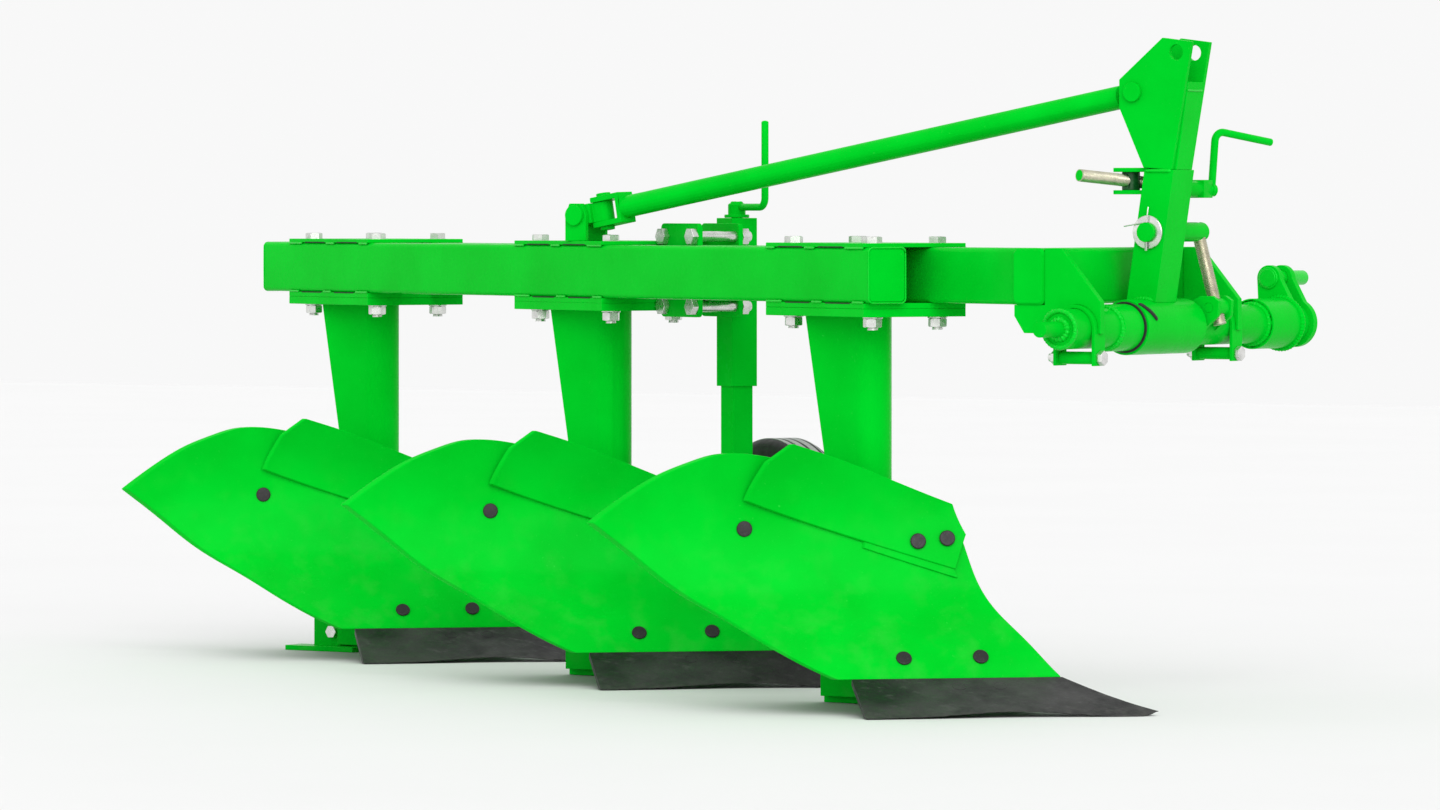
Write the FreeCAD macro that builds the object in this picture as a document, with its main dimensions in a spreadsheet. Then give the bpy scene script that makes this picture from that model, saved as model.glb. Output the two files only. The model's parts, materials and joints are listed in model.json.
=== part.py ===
import FreeCAD
import Part
import Sketcher
import math
import os

# Three-furrow mounted plough, millimetres, X forward, Y to the left, Z up.
# Every piece is laid out from the hitch axle, on the floor under its middle, and the whole
# plough is shifted at the end so that the origin is the middle of its footprint.

LENGTHS = {
    # how the three bodies follow each other
    "step_back": 660, "step_side": 300,
    # the two oblique beams, their cross beam and end caps
    "beam_back": 338, "beam_side": 215, "beam_wide": 64, "beam_high": 80, "beam_wall": 6,
    "beam_long": 1810, "beam_low": 585, "beam_gap": 48, "side_reach": 260, "cap_thick": 5,
    "cross_front": 53, "cross_deep": 50, "cross_long": 412,
    # plates over and under the beams, and their bolts
    "plate_inset": 12, "plate_long": 262, "plate_thick": 6, "under_thick": 8, "flange_thick": 12,
    "leg_bolt_reach": 105, "bolt_radius": 8, "bolt_head": 24, "bolt_head_high": 10,
    "nut_high": 13, "bolt_end": 6, "hole_clear": 0.2,
    # legs
    "leg_radius": 35, "leg_nose": 8, "leg_mid": 6, "leg_rear_top": 77, "leg_rear_low": 26,
    "leg_low": 250, "leg_wall": 8,
    # plough bodies, measured from the share point
    "body_ahead": 472, "shin_to_leg": 127, "board_foot": 149, "share_long": 420,
    "share_wide": 120, "share_thick": 10, "share_bow": 5, "board_high": 392, "board_reach": 355,
    "board_level_thick": 9, "sheet_spare": 60, "trash_lean": 30, "seat_clear": 0.2,
    "trash_thick": 8, "wing_seat_thick": 14, "wing_seat_low": 46, "wing_seat_high": 262,
    "wing_seat_reach": 170, "wing_seat_waist": 64,
    "landside_thick": 12, "landside_high": 90, "landside_tail": 137, "landside_front": 215,
    "landside_short_tail": 82, "landside_rake": 25,
    "frog_thick": 16, "frog_tail": 78, "frog_low": 10, "frog_heel": 100,
    "frog_foot_front": 190, "frog_foot_top": 30, "frog_waist": 207,
    "frog_top_thick": 12, "frog_top_tail": 33, "frog_top_nose": 48,
    "share_seat_from": 70, "share_seat_to": 142, "share_seat_thick": 12,
    "share_seat_start": 60, "share_seat_long": 310,
    "plough_head_radius": 11.5, "plough_head_high": 3, "plough_bolt_radius": 6,
    "plough_nut": 19, "plough_nut_high": 10,
    "stay_radius": 10, "stay_pad_radius": 20, "stay_pad_thick": 8, "stay_foot_tail": 53,
    "stay_foot_z": 60,
    "foot_thick": 8, "foot_long": 136, "foot_wide": 44, "foot_tail": 163, "foot_leaf_tail": 131,
    "foot_leaf_high": 56, "foot_leaf_long": 52, "foot_bolt_tail": 92, "foot_bolt_z": 30,
    # hitch axle, its crank and pins
    "axle_high": 552, "axle_radius": 28.5, "axle_right": 250, "axle_left": 421, "run_clear": 0.05,
    "disc_radius": 37, "disc_at": 298, "disc_thick": 8, "collar_radius": 33.5, "collar_at": 124,
    "collar_long": 53, "pin_radius": 11, "pin_long": 55, "pin_held_radius": 12,
    "crank_thick": 12, "crank_inner": 384, "crank_gap": 25, "crank_back": 20,
    "crank_rise": 66, "crank_nose_radius": 19,
    "crank_root_radius": 36, "pin_nut": 36, "pin_nut_high": 18,
    "sleeve_radius": 39.5, "sleeve_right": 68, "sleeve_left": 97, "seal_thick": 2.6,
    "seal_radius": 36.5,
    "ear_thick": 8, "ear_at": 103, "ear_gap": 30, "ear_x": 38, "ear_z": 26, "ear_radius": 17,
    # brackets and straps that carry the axle
    "bracket_at": 196, "bracket_thick": 12, "bracket_low": 545,
    "bracket_nose": 38, "bracket_shoulder": 590, "bracket_tail": 32, "strap_wide": 30,
    "strap_thick": 5, "strap_clear": 0.3, "strap_low": 500, "strap_bolt_z": 511,
    "strap_bolt_radius": 6, "strap_head": 19, "strap_head_high": 8, "spacer_radius": 8,
    # mast
    "mast_side": 14, "mast_wide": 60, "mast_deep": 48, "mast_foot_x": 33, "mast_foot_z": 560,
    "mast_top_z": 776, "mast_lean": 34, "mast_wall": 6, "head_thick": 8, "head_high": 188,
    "head_reach": 81, "link_x": 53, "link_z": 943, "link_radius": 11,
    "filler_top": 903, "strut_pin_x": 17, "strut_pin_z": 887, "strut_pin_radius": 10,
    "strut_head_radius": 14, "strut_head_high": 6,
    # strut between the mast and the second pair of plates
    "strut_radius": 16.85, "strut_back": 1082, "strut_side": 155, "strut_low_z": 710,
    "tongue_thick": 16, "tongue_high": 28, "tongue_long": 34, "eye_clear": 1.3, "eye_radius": 17,
    "clevis_thick": 8, "clevis_wide": 34, "clevis_tail": 14, "clevis_long": 44,
    "block_high": 30, "block_reach": 36, "block_tail": 16, "block_nose": 52,
    "cross_pin_radius": 8, "cross_head_radius": 11, "cross_head_high": 5,
    "lug_thick": 8, "lug_gap": 44, "lug_wide": 38, "lug_clear": 0.3, "lug_rise": 18,
    "rear_pin_radius": 9, "rear_head_radius": 15.5,
    # levelling screw beside the mast
    "level_pin_radius": 14, "level_x": 8, "level_z": 687, "level_from": 26, "level_to": 136,
    "level_at": 126, "level_washer_radius": 24, "level_washer_thick": 4, "level_screw_radius": 8,
    "level_run": 25, "level_nut_radius": 14, "trunnion_radius": 7, "split_radius": 2,
    "split_reach": 14, "nut_clear": 0.6,
    # upper screw and its crank on the mast
    "upper_x": 9, "upper_z": 749, "upper_pin_radius": 11.5, "upper_at": 132,
    "upper_screw_radius": 9, "swivel_x": 38, "swivel_z": 760, "swivel_radius": 13,
    "swivel_high": 26, "swivel_ear_thick": 6, "swivel_ear_back": 56, "swivel_ear_wide": 40,
    "swivel_pin_radius": 6, "eye_block_long": 26, "eye_block_wide": 26, "thread_clear": 0.3,
    "screw_beyond": 94, "upper_crank_off": 24, "upper_crank_arm": 86, "upper_grip": 103,
    "crank_rod_radius": 5.5, "upper_collar_radius": 13, "upper_collar_thick": 6,
    "upper_collar_at": 100,
    # depth wheel and its clamp
    "clamp_along": 681, "clamp_half": 54, "clamp_low": 556, "clamp_top": 698, "clamp_thick": 8,
    "clamp_round": 8, "clamp_bolt_reach": 42, "clamp_bolt_high": 678, "clamp_bolt_low": 572,
    "holder_wide": 45, "holder_wall": 4.5, "holder_low": 450, "holder_top": 700,
    "inner_wide": 35.4, "inner_wall": 4, "inner_low": 182, "inner_top": 588,
    "inner_nut_high": 20,
    "wheel_radius": 165, "wheel_wide": 80, "wheel_high": 204, "wheel_gap": 25, "hub_radius": 35,
    "hub_wide": 60, "web_thick": 6, "rim_radius": 110, "tyre_round": 22, "wheel_axle_radius": 12.5,
    "wheel_axle_end": 10, "wheel_stop_radius": 19, "holder_cap": 6, "crank_hub_high": 22,
    "hub_crank_radius": 14, "wheel_arm": 70, "wheel_arm_z": 722, "wheel_grip_top": 851,
    "wheel_screw_radius": 9, "wheel_screw_low": 505,
    # small shared sizes
    "overrun": 40,
}

ANGLES = {"share_angle": 44, "share_lift": 25}

BODIES = 3
RIM_RAYS = 8

# The twisted board: level lines, each with its height and shin place as shares, and its heading.
level_shares = (0.102, 0.13, 0.204, 0.362, 0.577, 0.75, 0.867, 1)
shin_shares = (0.0, 0.041, 0.148, 0.576, 0.863, 0.975, 1.0, 1.0)
frog_shin_shares = ((0.403, 0.204), (0.833, 0.362), (1.088, 0.523), (1.352, 0.56))
frog_top_share = 1.352
level_angles = (44.5, 44, 42.5, 41, 41, 43, 45, 47.5)
lean_shares = (0, 0, 0, 0, 0, 0.12, 0.45, 1)

# Outlines in the upright plane: share of the board's reach, share of its height.
board_outline_shares = (
    ((0, 0.1306), (0.61, 0.1306)),
    ((0.61, 0.1306), (0.67, 0.181), (0.707, 0.245), (0.726, 0.332), (0.777, 0.423),
     (0.861, 0.546), (0.931, 0.628), (1, 0.689)),
    ((1, 0.689), (0.957, 0.74), (0.9, 0.806), (0.836, 0.867), (0.762, 0.911), (0.711, 0.934),
     (0.627, 0.941), (0.534, 0.925), (0.38, 0.875), (0.27, 0.82), (0.155, 0.77), (0, 0.7)),
    ((0, 0.7), (0, 0.1306)),
)
trash_outline_shares = (
    ((0, 0.64), (0.052, 0.518)), ((0.052, 0.518), (0.577, 0.763)), ((0.577, 0.763), (0.546, 0.911)),
    ((0.546, 0.911), (0.484, 0.974)), ((0.484, 0.974), (0.377, 0.934), (0.16, 0.837), (0, 0.75)),
    ((0, 0.75), (0, 0.64)),
)
board_bolt_shares = ((0.407, 0.199), (0.192, 0.202), (0.587, 0.663))
trash_bolt_shares = ((0.141, 0.615), (0.06, 0.625))
share_edge_shares = ((0.75, 0.8), (0.45, 1), (0.2, 0.7))
head_outline_shares = (
    (0.877, 1), (1.469, 0.968), (1.062, 0), (0.494, 0.016), (0, 0.473), (0, 0.686),
)

# Ears of the levelling screw: corners below the axle's top and round the screw's nut.
ear_root_shares = ((-1, 0.7), (0.6, -0.8))
ear_nose_shares = ((0.9, -0.7), (1, 0.6), (0.4, 1), (-0.8, 1))

# Single shares of a neighbouring size.
sheet_span_share = 1.75
seat_step_share = 0.29
seat_neck_share = 0.44
seat_shoulder_share = 1.4
pad_hold_share = 0.85
head_round_share = 0.6
lug_top_share = 0.6
split_off_share = 1.6
square_share = 0.9


class Size:
    """A number together with the sheet formula that gives it."""

    def __init__(self, value, formula):
        self.value = value
        self.formula = formula

    def joined(self, other, sign, value):
        return Size(value, "(%s %s %s)" % (self.formula, sign, other.formula))

    def __add__(self, other):
        other = as_size(other)
        return self.joined(other, "+", self.value + other.value)

    def __sub__(self, other):
        other = as_size(other)
        return self.joined(other, "-", self.value - other.value)

    def __mul__(self, other):
        other = as_size(other)
        return self.joined(other, "*", self.value * other.value)

    def __truediv__(self, other):
        other = as_size(other)
        return self.joined(other, "/", self.value / other.value)

    def __neg__(self):
        return as_size(0) - self

    def __radd__(self, other):
        return as_size(other) + self

    def __rsub__(self, other):
        return as_size(other) - self

    def __rmul__(self, other):
        return as_size(other) * self


def as_size(number):
    """A plain number as a size."""
    if isinstance(number, Size):
        return number
    return Size(float(number), "(%r)" % float(number))


def root(number):
    """The square root of a size."""
    return Size(math.sqrt(number.value), "sqrt(%s)" % number.formula)


class Sheet:
    """The spreadsheet of driving dimensions, each cell also a size of this object."""

    def __init__(self, doc):
        self.table = doc.addObject("Spreadsheet::Sheet", "sizes")
        self.row = 0

    def add(self, name, value):
        self.row += 1
        self.table.set("A%d" % self.row, name)
        self.table.set("B%d" % self.row, str(value))
        self.table.setAlias("B%d" % self.row, name)
        setattr(self, name, Size(float(value), "sizes.%s" % name))


doc = FreeCAD.newDocument("plough")
size = Sheet(doc)
for cell, number in list(LENGTHS.items()) + list(ANGLES.items()):
    size.add(cell, number)
size.add("shift_x", 0)
size.add("shift_y", 0)
doc.recompute()

pieces = []
UP = FreeCAD.Vector(0, 0, 1)
QUARTER_TURNS = {"X": ((0, 1, 0), 90), "Y": ((-1, 0, 0), 90), "Z": ((0, 0, 1), 0)}

# Direction of the beams: they run back and to the left with the steps of the bodies.
pitch = root(size.step_back * size.step_back + size.step_side * size.step_side)
back_share = size.step_back / pitch
side_share = size.step_side / pitch
frame_wide = size.beam_wide + size.beam_gap + size.beam_wide
beam_top = size.beam_low + size.beam_high
under_low = size.beam_low - size.under_thick
flange_low = under_low - size.flange_thick


def bind(thing, prop, number):
    """Tie one property to the sheet."""
    thing.setExpression(prop, as_size(number).formula)


def move(thing, x, y, z):
    """Tie a thing's place to the sheet."""
    bind(thing, "Placement.Base.x", x)
    bind(thing, "Placement.Base.y", y)
    bind(thing, "Placement.Base.z", z)


def turn(thing):
    """Turn a thing about the upright axis so that its X runs forward along the beams."""
    thing.Placement = FreeCAD.Placement(FreeCAD.Vector(), FreeCAD.Rotation(-UP, 1))
    thing.setExpression("Placement.Rotation.Angle", "atan(sizes.step_side / sizes.step_back)")


def beam_x(along, across):
    """Forward place of a point given along and across the beams."""
    return across * side_share - along * back_share


def beam_y(along, across):
    """Sideways place of a point given along and across the beams."""
    return along * side_share + across * back_share


def on_beam(thing, along, across, z):
    """Place a turned child thing on the beams."""
    turn(thing)
    move(thing, beam_x(along, across) - size.beam_back, beam_y(along, across) - size.beam_side, z)
    return thing


def box(x, y, z, long, wide, high):
    """A box with its least corner at x, y, z."""
    thing = doc.addObject("Part::Box", "box")
    bind(thing, "Length", long)
    bind(thing, "Width", wide)
    bind(thing, "Height", high)
    move(thing, x, y, z)
    return thing


def lay(thing, axis, x, y, z):
    """Lay a thing made along Z along another axis."""
    direction, angle = QUARTER_TURNS[axis]
    thing.Placement = FreeCAD.Placement(
        FreeCAD.Vector(), FreeCAD.Rotation(FreeCAD.Vector(direction), angle))
    move(thing, x, y, z)
    return thing


def rod(axis, radius, x, y, z, long):
    """A round bar that starts at x, y, z and runs along an axis."""
    thing = doc.addObject("Part::Cylinder", "rod")
    bind(thing, "Radius", radius)
    bind(thing, "Height", long)
    return lay(thing, axis, x, y, z)


def hexagon(axis, flats, x, y, z, long):
    """A six-sided bar given by its width over the flats."""
    thing = doc.addObject("Part::Prism", "hexagon")
    thing.Polygon = 6
    bind(thing, "Circumradius", as_size(flats) / root(as_size(3)))
    bind(thing, "Height", long)
    return lay(thing, axis, x, y, z)


def fuse(*things):
    """Things joined to one."""
    joined = doc.addObject("Part::MultiFuse", "joined")
    joined.Shapes = list(things)
    joined.Refine = True
    return joined


def cut(base, *tools):
    """A thing with other things cut out of it."""
    cut_out = doc.addObject("Part::Cut", "cut_out")
    cut_out.Base = base
    cut_out.Tool = tools[0] if len(tools) == 1 else fuse(*tools)
    cut_out.Refine = True
    return cut_out


def common(base, tool):
    """What two things share."""
    shared = doc.addObject("Part::Common", "shared")
    shared.Base = base
    shared.Tool = tool
    return shared


def group(things):
    """Separate solids in one node."""
    gathered = doc.addObject("Part::Compound", "gathered")
    gathered.Links = list(things)
    return gathered


def outline(sketch, points):
    """Draw a closed outline whose corners are tied to the sheet."""
    first = sketch.GeometryCount
    count = len(points)
    spots = [FreeCAD.Vector(as_size(a).value, as_size(b).value, 0) for a, b in points]
    for index in range(count):
        sketch.addGeometry(Part.LineSegment(spots[index], spots[(index + 1) % count]))
    for index in range(count):
        sketch.addConstraint(Sketcher.Constraint(
            "Coincident", first + index, 2, first + (index + 1) % count, 1))
    for index, (a, b) in enumerate(points):
        for kind, number in (("DistanceX", as_size(a)), ("DistanceY", as_size(b))):
            label = sketch.addConstraint(
                Sketcher.Constraint(kind, -1, 1, first + index, 1, number.value))
            sketch.setExpression("Constraints[%d]" % label, number.formula)


def hole(sketch, a, b, radius):
    """Draw a round hole tied to the sheet."""
    a, b, radius = as_size(a), as_size(b), as_size(radius)
    centre = FreeCAD.Vector(a.value, b.value, 0)
    index = sketch.addGeometry(Part.Circle(centre, FreeCAD.Vector(0, 0, 1), radius.value))
    for kind, number in (("DistanceX", a), ("DistanceY", b)):
        label = sketch.addConstraint(Sketcher.Constraint(kind, -1, 1, index, 3, number.value))
        sketch.setExpression("Constraints[%d]" % label, number.formula)
    label = sketch.addConstraint(Sketcher.Constraint("Radius", index, radius.value))
    sketch.setExpression("Constraints[%d]" % label, radius.formula)


def plate(plane, points, thick, holes=(), round_by=None):
    """A plate padded equally to both sides of its plane, with round holes and corners."""
    body = doc.addObject("PartDesign::Body", "plate")
    sketch = body.newObject("Sketcher::SketchObject", "plate_outline")
    origin_plane = [f for f in body.Origin.OriginFeatures if f.Role == plane + "_Plane"][0]
    sketch.AttachmentSupport = [(origin_plane, "")]
    sketch.MapMode = "FlatFace"
    outline(sketch, points)
    for a, b, radius in holes:
        hole(sketch, a, b, radius)
    pad = body.newObject("PartDesign::Pad", "plate_pad")
    pad.Profile = sketch
    pad.SideType = "Symmetric"
    bind(pad, "Length", thick)
    sketch.Visibility = False
    if round_by is not None:
        doc.recompute()
        normal = {"XY": FreeCAD.Vector(0, 0, 1), "XZ": FreeCAD.Vector(0, 1, 0),
                  "YZ": FreeCAD.Vector(1, 0, 0)}[plane]
        edges = []
        for number, edge in enumerate(pad.Shape.Edges):
            straight = isinstance(edge.Curve, Part.Line)
            if straight and abs(edge.Curve.Direction.dot(normal)) > square_share:
                edges.append("Edge%d" % (number + 1))
        rounding = body.newObject("PartDesign::Fillet", "plate_rounding")
        rounding.Base = (pad, edges)
        bind(rounding, "Radius", round_by)
        body.Tip = rounding
    return body


def piece(thing, label, x=0, y=0, z=0):
    """Name a finished piece and place it in the plough."""
    thing.Label = label
    move(thing, size.shift_x + x, size.shift_y + y, z)
    pieces.append(thing)
    return thing


def beam_piece(thing, label, along=0, across=0):
    """Name a finished piece that was made along the beams and place it."""
    thing.Label = label
    turn(thing)
    along, across = as_size(along), as_size(across)
    move(thing, size.shift_x + beam_x(along, across) - size.beam_back,
         size.shift_y + beam_y(along, across) - size.beam_side, 0)
    pieces.append(thing)
    return thing


def bolt(axis, x, y, z, grip, radius, flats, head_high, nut_high, head_first=True):
    """A hexagon bolt through a grip that starts at x, y, z, and its nut: two solids."""
    steps = {"X": (1, 0, 0), "Y": (0, 1, 0), "Z": (0, 0, 1)}[axis]

    def spot(distance):
        return [start + distance * step for start, step in zip((x, y, z), steps)]

    tip = nut_high + size.bolt_end
    if head_first:
        head = hexagon(axis, flats, *spot(-head_high), head_high)
        shank = rod(axis, radius, *spot(as_size(0)), grip + tip)
        nut_start = grip
    else:
        head = hexagon(axis, flats, *spot(grip), head_high)
        shank = rod(axis, radius, *spot(-tip), grip + tip)
        nut_start = -nut_high
    nut = hexagon(axis, flats, *spot(nut_start), nut_high)
    bore = rod(axis, radius, *spot(nut_start - size.bolt_end), nut_high + size.bolt_end * 2)
    return [fuse(head, shank), cut(nut, bore)]


def tube_box(x, y, z, long, wide, high, wall, through):
    """A rectangular tube, open along one axis."""
    outer = box(x, y, z, long, wide, high)
    spare = size.overrun
    start = [as_size(v) + wall for v in (x, y, z)]
    span = [as_size(v) - wall * 2 for v in (long, wide, high)]
    index = "XYZ".index(through)
    start[index] = as_size((x, y, z)[index]) - spare
    span[index] = as_size((long, wide, high)[index]) + spare * 2
    return cut(outer, box(*start, *span))


def leg_bolt_spots():
    """Along and across places of the four bolts of each leg, leg by leg."""
    middle = size.plate_inset + size.plate_long / 2
    for number in range(BODIES):
        for side in (-1, 1):
            along = middle + pitch * number + size.leg_bolt_reach * side
            for across in (size.beam_wide / 2, frame_wide - size.beam_wide / 2):
                yield number, along, across


def bolt_holes(only=None, across_limits=None):
    """Upright drills for the leg bolts in the frame of the beams."""
    drills = []
    for number, along, across in leg_bolt_spots():
        if only is not None and number != only:
            continue
        if across_limits and not across_limits[0] < across.value < across_limits[1]:
            continue
        drills.append(rod("Z", size.bolt_radius + size.hole_clear, -along, across,
                          flange_low - size.overrun,
                          size.beam_high + size.overrun * 3))
    return drills


# Beams
tube_long = size.beam_long - size.cap_thick * 2
main_tube = tube_box(size.cap_thick - size.beam_long, 0, size.beam_low, tube_long,
                     size.beam_wide, size.beam_high, size.beam_wall, "X")
main_cut = cut(main_tube, *bolt_holes(None, (0, size.beam_wide.value)))
beam_piece(main_cut, "main_beam")

side_start = size.beam_wide + size.beam_gap
side_tube = tube_box(size.cap_thick - size.beam_long, side_start, size.beam_low,
                     tube_long + size.side_reach, size.beam_wide, size.beam_high,
                     size.beam_wall, "X")
side_drilled = cut(side_tube, *bolt_holes(None, (side_start.value, frame_wide.value)))
on_beam(side_drilled, as_size(0), as_size(0), 0)
cross_rear = size.cross_front + size.cross_deep
front_room = box(-cross_rear, -size.cross_long, size.beam_low - size.overrun,
                 size.side_reach * 2, size.cross_long * 2, size.beam_high + size.overrun * 2)
piece(cut(side_drilled, front_room), "side_beam")

cross_tube = tube_box(-cross_rear, size.cap_thick - size.cross_long / 2, size.beam_low,
                      size.cross_deep, size.cross_long - size.cap_thick * 2, size.beam_high,
                      size.beam_wall, "Y")
piece(cross_tube, "cross_beam")

caps = []
for along, across in ((size.cap_thick, 0), (size.beam_long, 0), (size.beam_long, side_start)):
    cap = box(0, 0, 0, size.cap_thick, size.beam_wide, size.beam_high)
    caps.append(on_beam(cap, as_size(along), as_size(across), size.beam_low))
for y in (-size.cross_long / 2, size.cross_long / 2 - size.cap_thick):
    caps.append(box(-cross_rear, y, size.beam_low, size.cross_deep, size.cap_thick,
                    size.beam_high))
piece(group(caps), "beam_caps")


# Plates across the beams
def cross_plates(low, thick):
    """Three drilled plates that lie across both beams."""
    plates = []
    for number in range(BODIES):
        rear = size.plate_inset + size.plate_long + pitch * number
        blank = box(-rear, 0, low, size.plate_long, frame_wide, thick)
        plates.append(cut(blank, *bolt_holes(number)))
    return group(plates)


beam_piece(cross_plates(beam_top, size.plate_thick), "upper_plates")
beam_piece(cross_plates(under_low, size.under_thick), "lower_plates")

leg_bolts = []
leg_grip = beam_top + size.plate_thick - flange_low
for number, along, across in leg_bolt_spots():
    leg_bolts += bolt("Z", -along, across, flange_low, leg_grip, size.bolt_radius,
                      size.bolt_head, size.bolt_head_high, size.nut_high, head_first=False)
beam_piece(group(leg_bolts), "leg_bolts")

# Legs with their flanges
middle_along = size.plate_inset + size.plate_long / 2
station_x = beam_x(middle_along, frame_wide / 2) - size.beam_back
station_y = beam_y(middle_along, frame_wide / 2) - size.beam_side


def leg_form(radius, rear_top, rear_low, low, high):
    """A round-nosed post whose rear face tapers in towards its foot."""
    nose = rod("Z", radius, size.leg_nose, -size.leg_mid, low, high)
    tail = doc.addObject("Part::Wedge", "tail")
    tail.Placement = FreeCAD.Placement(FreeCAD.Vector(), FreeCAD.Rotation(
        FreeCAD.Vector(1, 0, 0), 90))
    for prop, number in (("Ymin", 0), ("Ymax", high), ("Xmin", -rear_low), ("X2min", -rear_top),
                         ("Xmax", size.leg_nose), ("X2max", size.leg_nose),
                         ("Zmin", -radius), ("Z2min", -radius), ("Zmax", radius),
                         ("Z2max", radius)):
        bind(tail, prop, number)
    move(tail, 0, -size.leg_mid, low)
    return fuse(nose, tail)


leg_high = flange_low - size.leg_low
for number in range(BODIES):
    flange = box(0, 0, 0, size.plate_long, frame_wide, size.flange_thick)
    turn(flange)
    half_long, half_wide = size.plate_long / 2, -frame_wide / 2
    move(flange, beam_x(half_long, half_wide), beam_y(half_long, half_wide), flange_low)
    drills = []
    for side in (-1, 1):
        for across in (size.beam_wide / 2 - frame_wide / 2, frame_wide / 2 - size.beam_wide / 2):
            reach = size.leg_bolt_reach * side
            drills.append(rod("Z", size.bolt_radius + size.hole_clear, beam_x(reach, across),
                              beam_y(reach, across), flange_low - size.overrun,
                              size.overrun * 3))
    shell = cut(leg_form(size.leg_radius, size.leg_rear_top, size.leg_rear_low, size.leg_low,
                         leg_high),
                leg_form(size.leg_radius - size.leg_wall, size.leg_rear_top - size.leg_wall,
                         size.leg_rear_low - size.leg_wall, size.leg_low - size.leg_wall,
                         leg_high + size.leg_wall))
    piece(fuse(cut(flange, *drills), shell), "leg_%d" % (number + 1),
          station_x - size.step_back * number, station_y + size.step_side * number)


# Plough bodies
body_x = station_x + size.body_ahead
body_y = station_y + size.leg_radius - size.leg_mid
board_back = size.body_ahead - size.shin_to_leg
short_rears = [size.body_ahead + size.landside_short_tail] * (BODIES - 1)
landside_rears = short_rears + [size.body_ahead + size.landside_tail]
frog_rear = size.body_ahead + size.frog_tail
frog_top_rear = size.body_ahead + size.frog_top_tail
frog_top_front = size.body_ahead - size.frog_top_nose
stay_foot_x = size.body_ahead + size.stay_foot_tail
foot_rear = size.body_ahead + size.foot_tail
foot_leaf_rear = size.body_ahead + size.foot_leaf_tail
foot_bolt_x = size.body_ahead + size.foot_bolt_tail


def body_copies(thing, label):
    """One piece for each of the three bodies."""
    for number in range(BODIES):
        piece(group([thing]), "%s_%d" % (label, number + 1),
              body_x - size.step_back * number, body_y + size.step_side * number)


def in_code(shape, name):
    """A shape made in code, as an object that others can use."""
    thing = doc.addObject("Part::Feature", name)
    thing.Shape = shape
    return thing


def on_shin(shin_share):
    """How far behind the share point the shin lies, from its foot to its top."""
    return size.board_foot + (board_back - size.board_foot) * shin_share


def board_sheet(front, rear, lean=0.0):
    """The twisted board as a loft through level strips, between two level offsets."""
    wires = []
    reach = size.board_reach.value * sheet_span_share
    spare = size.sheet_spare.value
    for rise, shin, angle, tilt in zip(level_shares, shin_shares, level_angles, lean_shares):
        heading = math.radians(angle)
        back = FreeCAD.Vector(-math.cos(heading), -math.sin(heading), 0)
        ahead = FreeCAD.Vector(math.sin(heading), -math.cos(heading), 0)
        start = FreeCAD.Vector(-on_shin(shin).value, 0, rise * size.board_high.value)
        corners = []
        for run, offset in ((-spare, front), (reach, front), (reach, rear), (-spare, rear)):
            corners.append(start + back * run + ahead * (offset + lean * tilt))
        wires.append(Part.makePolygon(corners + corners[:1]))
    return Part.makeLoft(wires, True, False)


def drum(runs):
    """A prism along X over an outline of straight and smooth runs, from the far side across."""
    start = -size.share_long.value * 3
    edges = []
    for run in runs:
        spots = [FreeCAD.Vector(start, -y, z) for y, z in run]
        if len(spots) == 2:
            edges.append(Part.makeLine(*spots))
        else:
            curve = Part.BSplineCurve()
            curve.interpolate(spots)
            edges.append(curve.toShape())
    face = Part.Face(Part.Wire(edges))
    return face.extrude(FreeCAD.Vector(-start * 2, 0, 0))


def outline_of_shares(table):
    """Outline runs in millimetres."""
    reach, high = size.board_reach.value, size.board_high.value
    return [[(y * reach, z * high) for y, z in run] for run in table]


def closed_run(points):
    """The straight sides of a closed outline."""
    return [(points[i], points[(i + 1) % len(points)]) for i in range(len(points))]


level_thick = size.board_level_thick.value
clear = size.seat_clear.value
board_blank = board_sheet(0, -level_thick)
board = board_blank.common(drum(outline_of_shares(board_outline_shares)))
trash_blank = board_sheet(clear + size.trash_thick.value, clear, size.trash_lean.value)
trash = trash_blank.common(drum(outline_of_shares(trash_outline_shares)))
seat_front = -level_thick - clear
seat_blank = board_sheet(seat_front, seat_front - size.wing_seat_thick.value)
seat_low, seat_high = size.wing_seat_low.value, size.wing_seat_high.value
seat_near, seat_reach = size.landside_thick.value, size.wing_seat_reach.value
seat_waist = size.wing_seat_waist.value
seat_step = seat_low + (seat_high - seat_low) * seat_step_share
seat_neck = seat_low + (seat_high - seat_low) * seat_neck_share
wing_seat = seat_blank.common(drum(closed_run([
    (seat_near, seat_low), (seat_reach, seat_low), (seat_reach, seat_step),
    (seat_waist * seat_shoulder_share, seat_neck), (seat_waist, seat_neck + seat_waist / 2),
    (seat_waist, seat_high), (0, seat_high), (0, seat_neck), (seat_near, seat_step)])))


def surface_spot(blank, y, z):
    """The foremost point of a sheet at a sideways place and a height."""
    reach = size.share_long.value * 3
    ray = Part.makeLine(FreeCAD.Vector(-reach, -y, z), FreeCAD.Vector(reach, -y, z))
    return max((vertex.Point for vertex in ray.common(blank).Vertexes), key=lambda p: p.x)


def outward(blank, y, z):
    """The direction square to the front of a sheet."""
    step = size.plough_bolt_radius.value
    middle = surface_spot(blank, y, z)
    across = surface_spot(blank, y + step, z) - middle
    upward = surface_spot(blank, y, z + step) - middle
    normal = across.cross(upward)
    normal.normalize()
    return normal if normal.x > 0 else -normal


def hexagon_solid(start, direction, flats, long):
    """A six-sided solid along any direction."""
    radius = flats / math.sqrt(3)
    corners = [FreeCAD.Vector(radius * math.cos(math.pi * k / 3),
                              radius * math.sin(math.pi * k / 3), 0) for k in range(7)]
    solid = Part.Face(Part.makePolygon(corners)).extrude(UP * long)
    solid.Placement = FreeCAD.Placement(start, FreeCAD.Rotation(UP, direction))
    return solid


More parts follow.
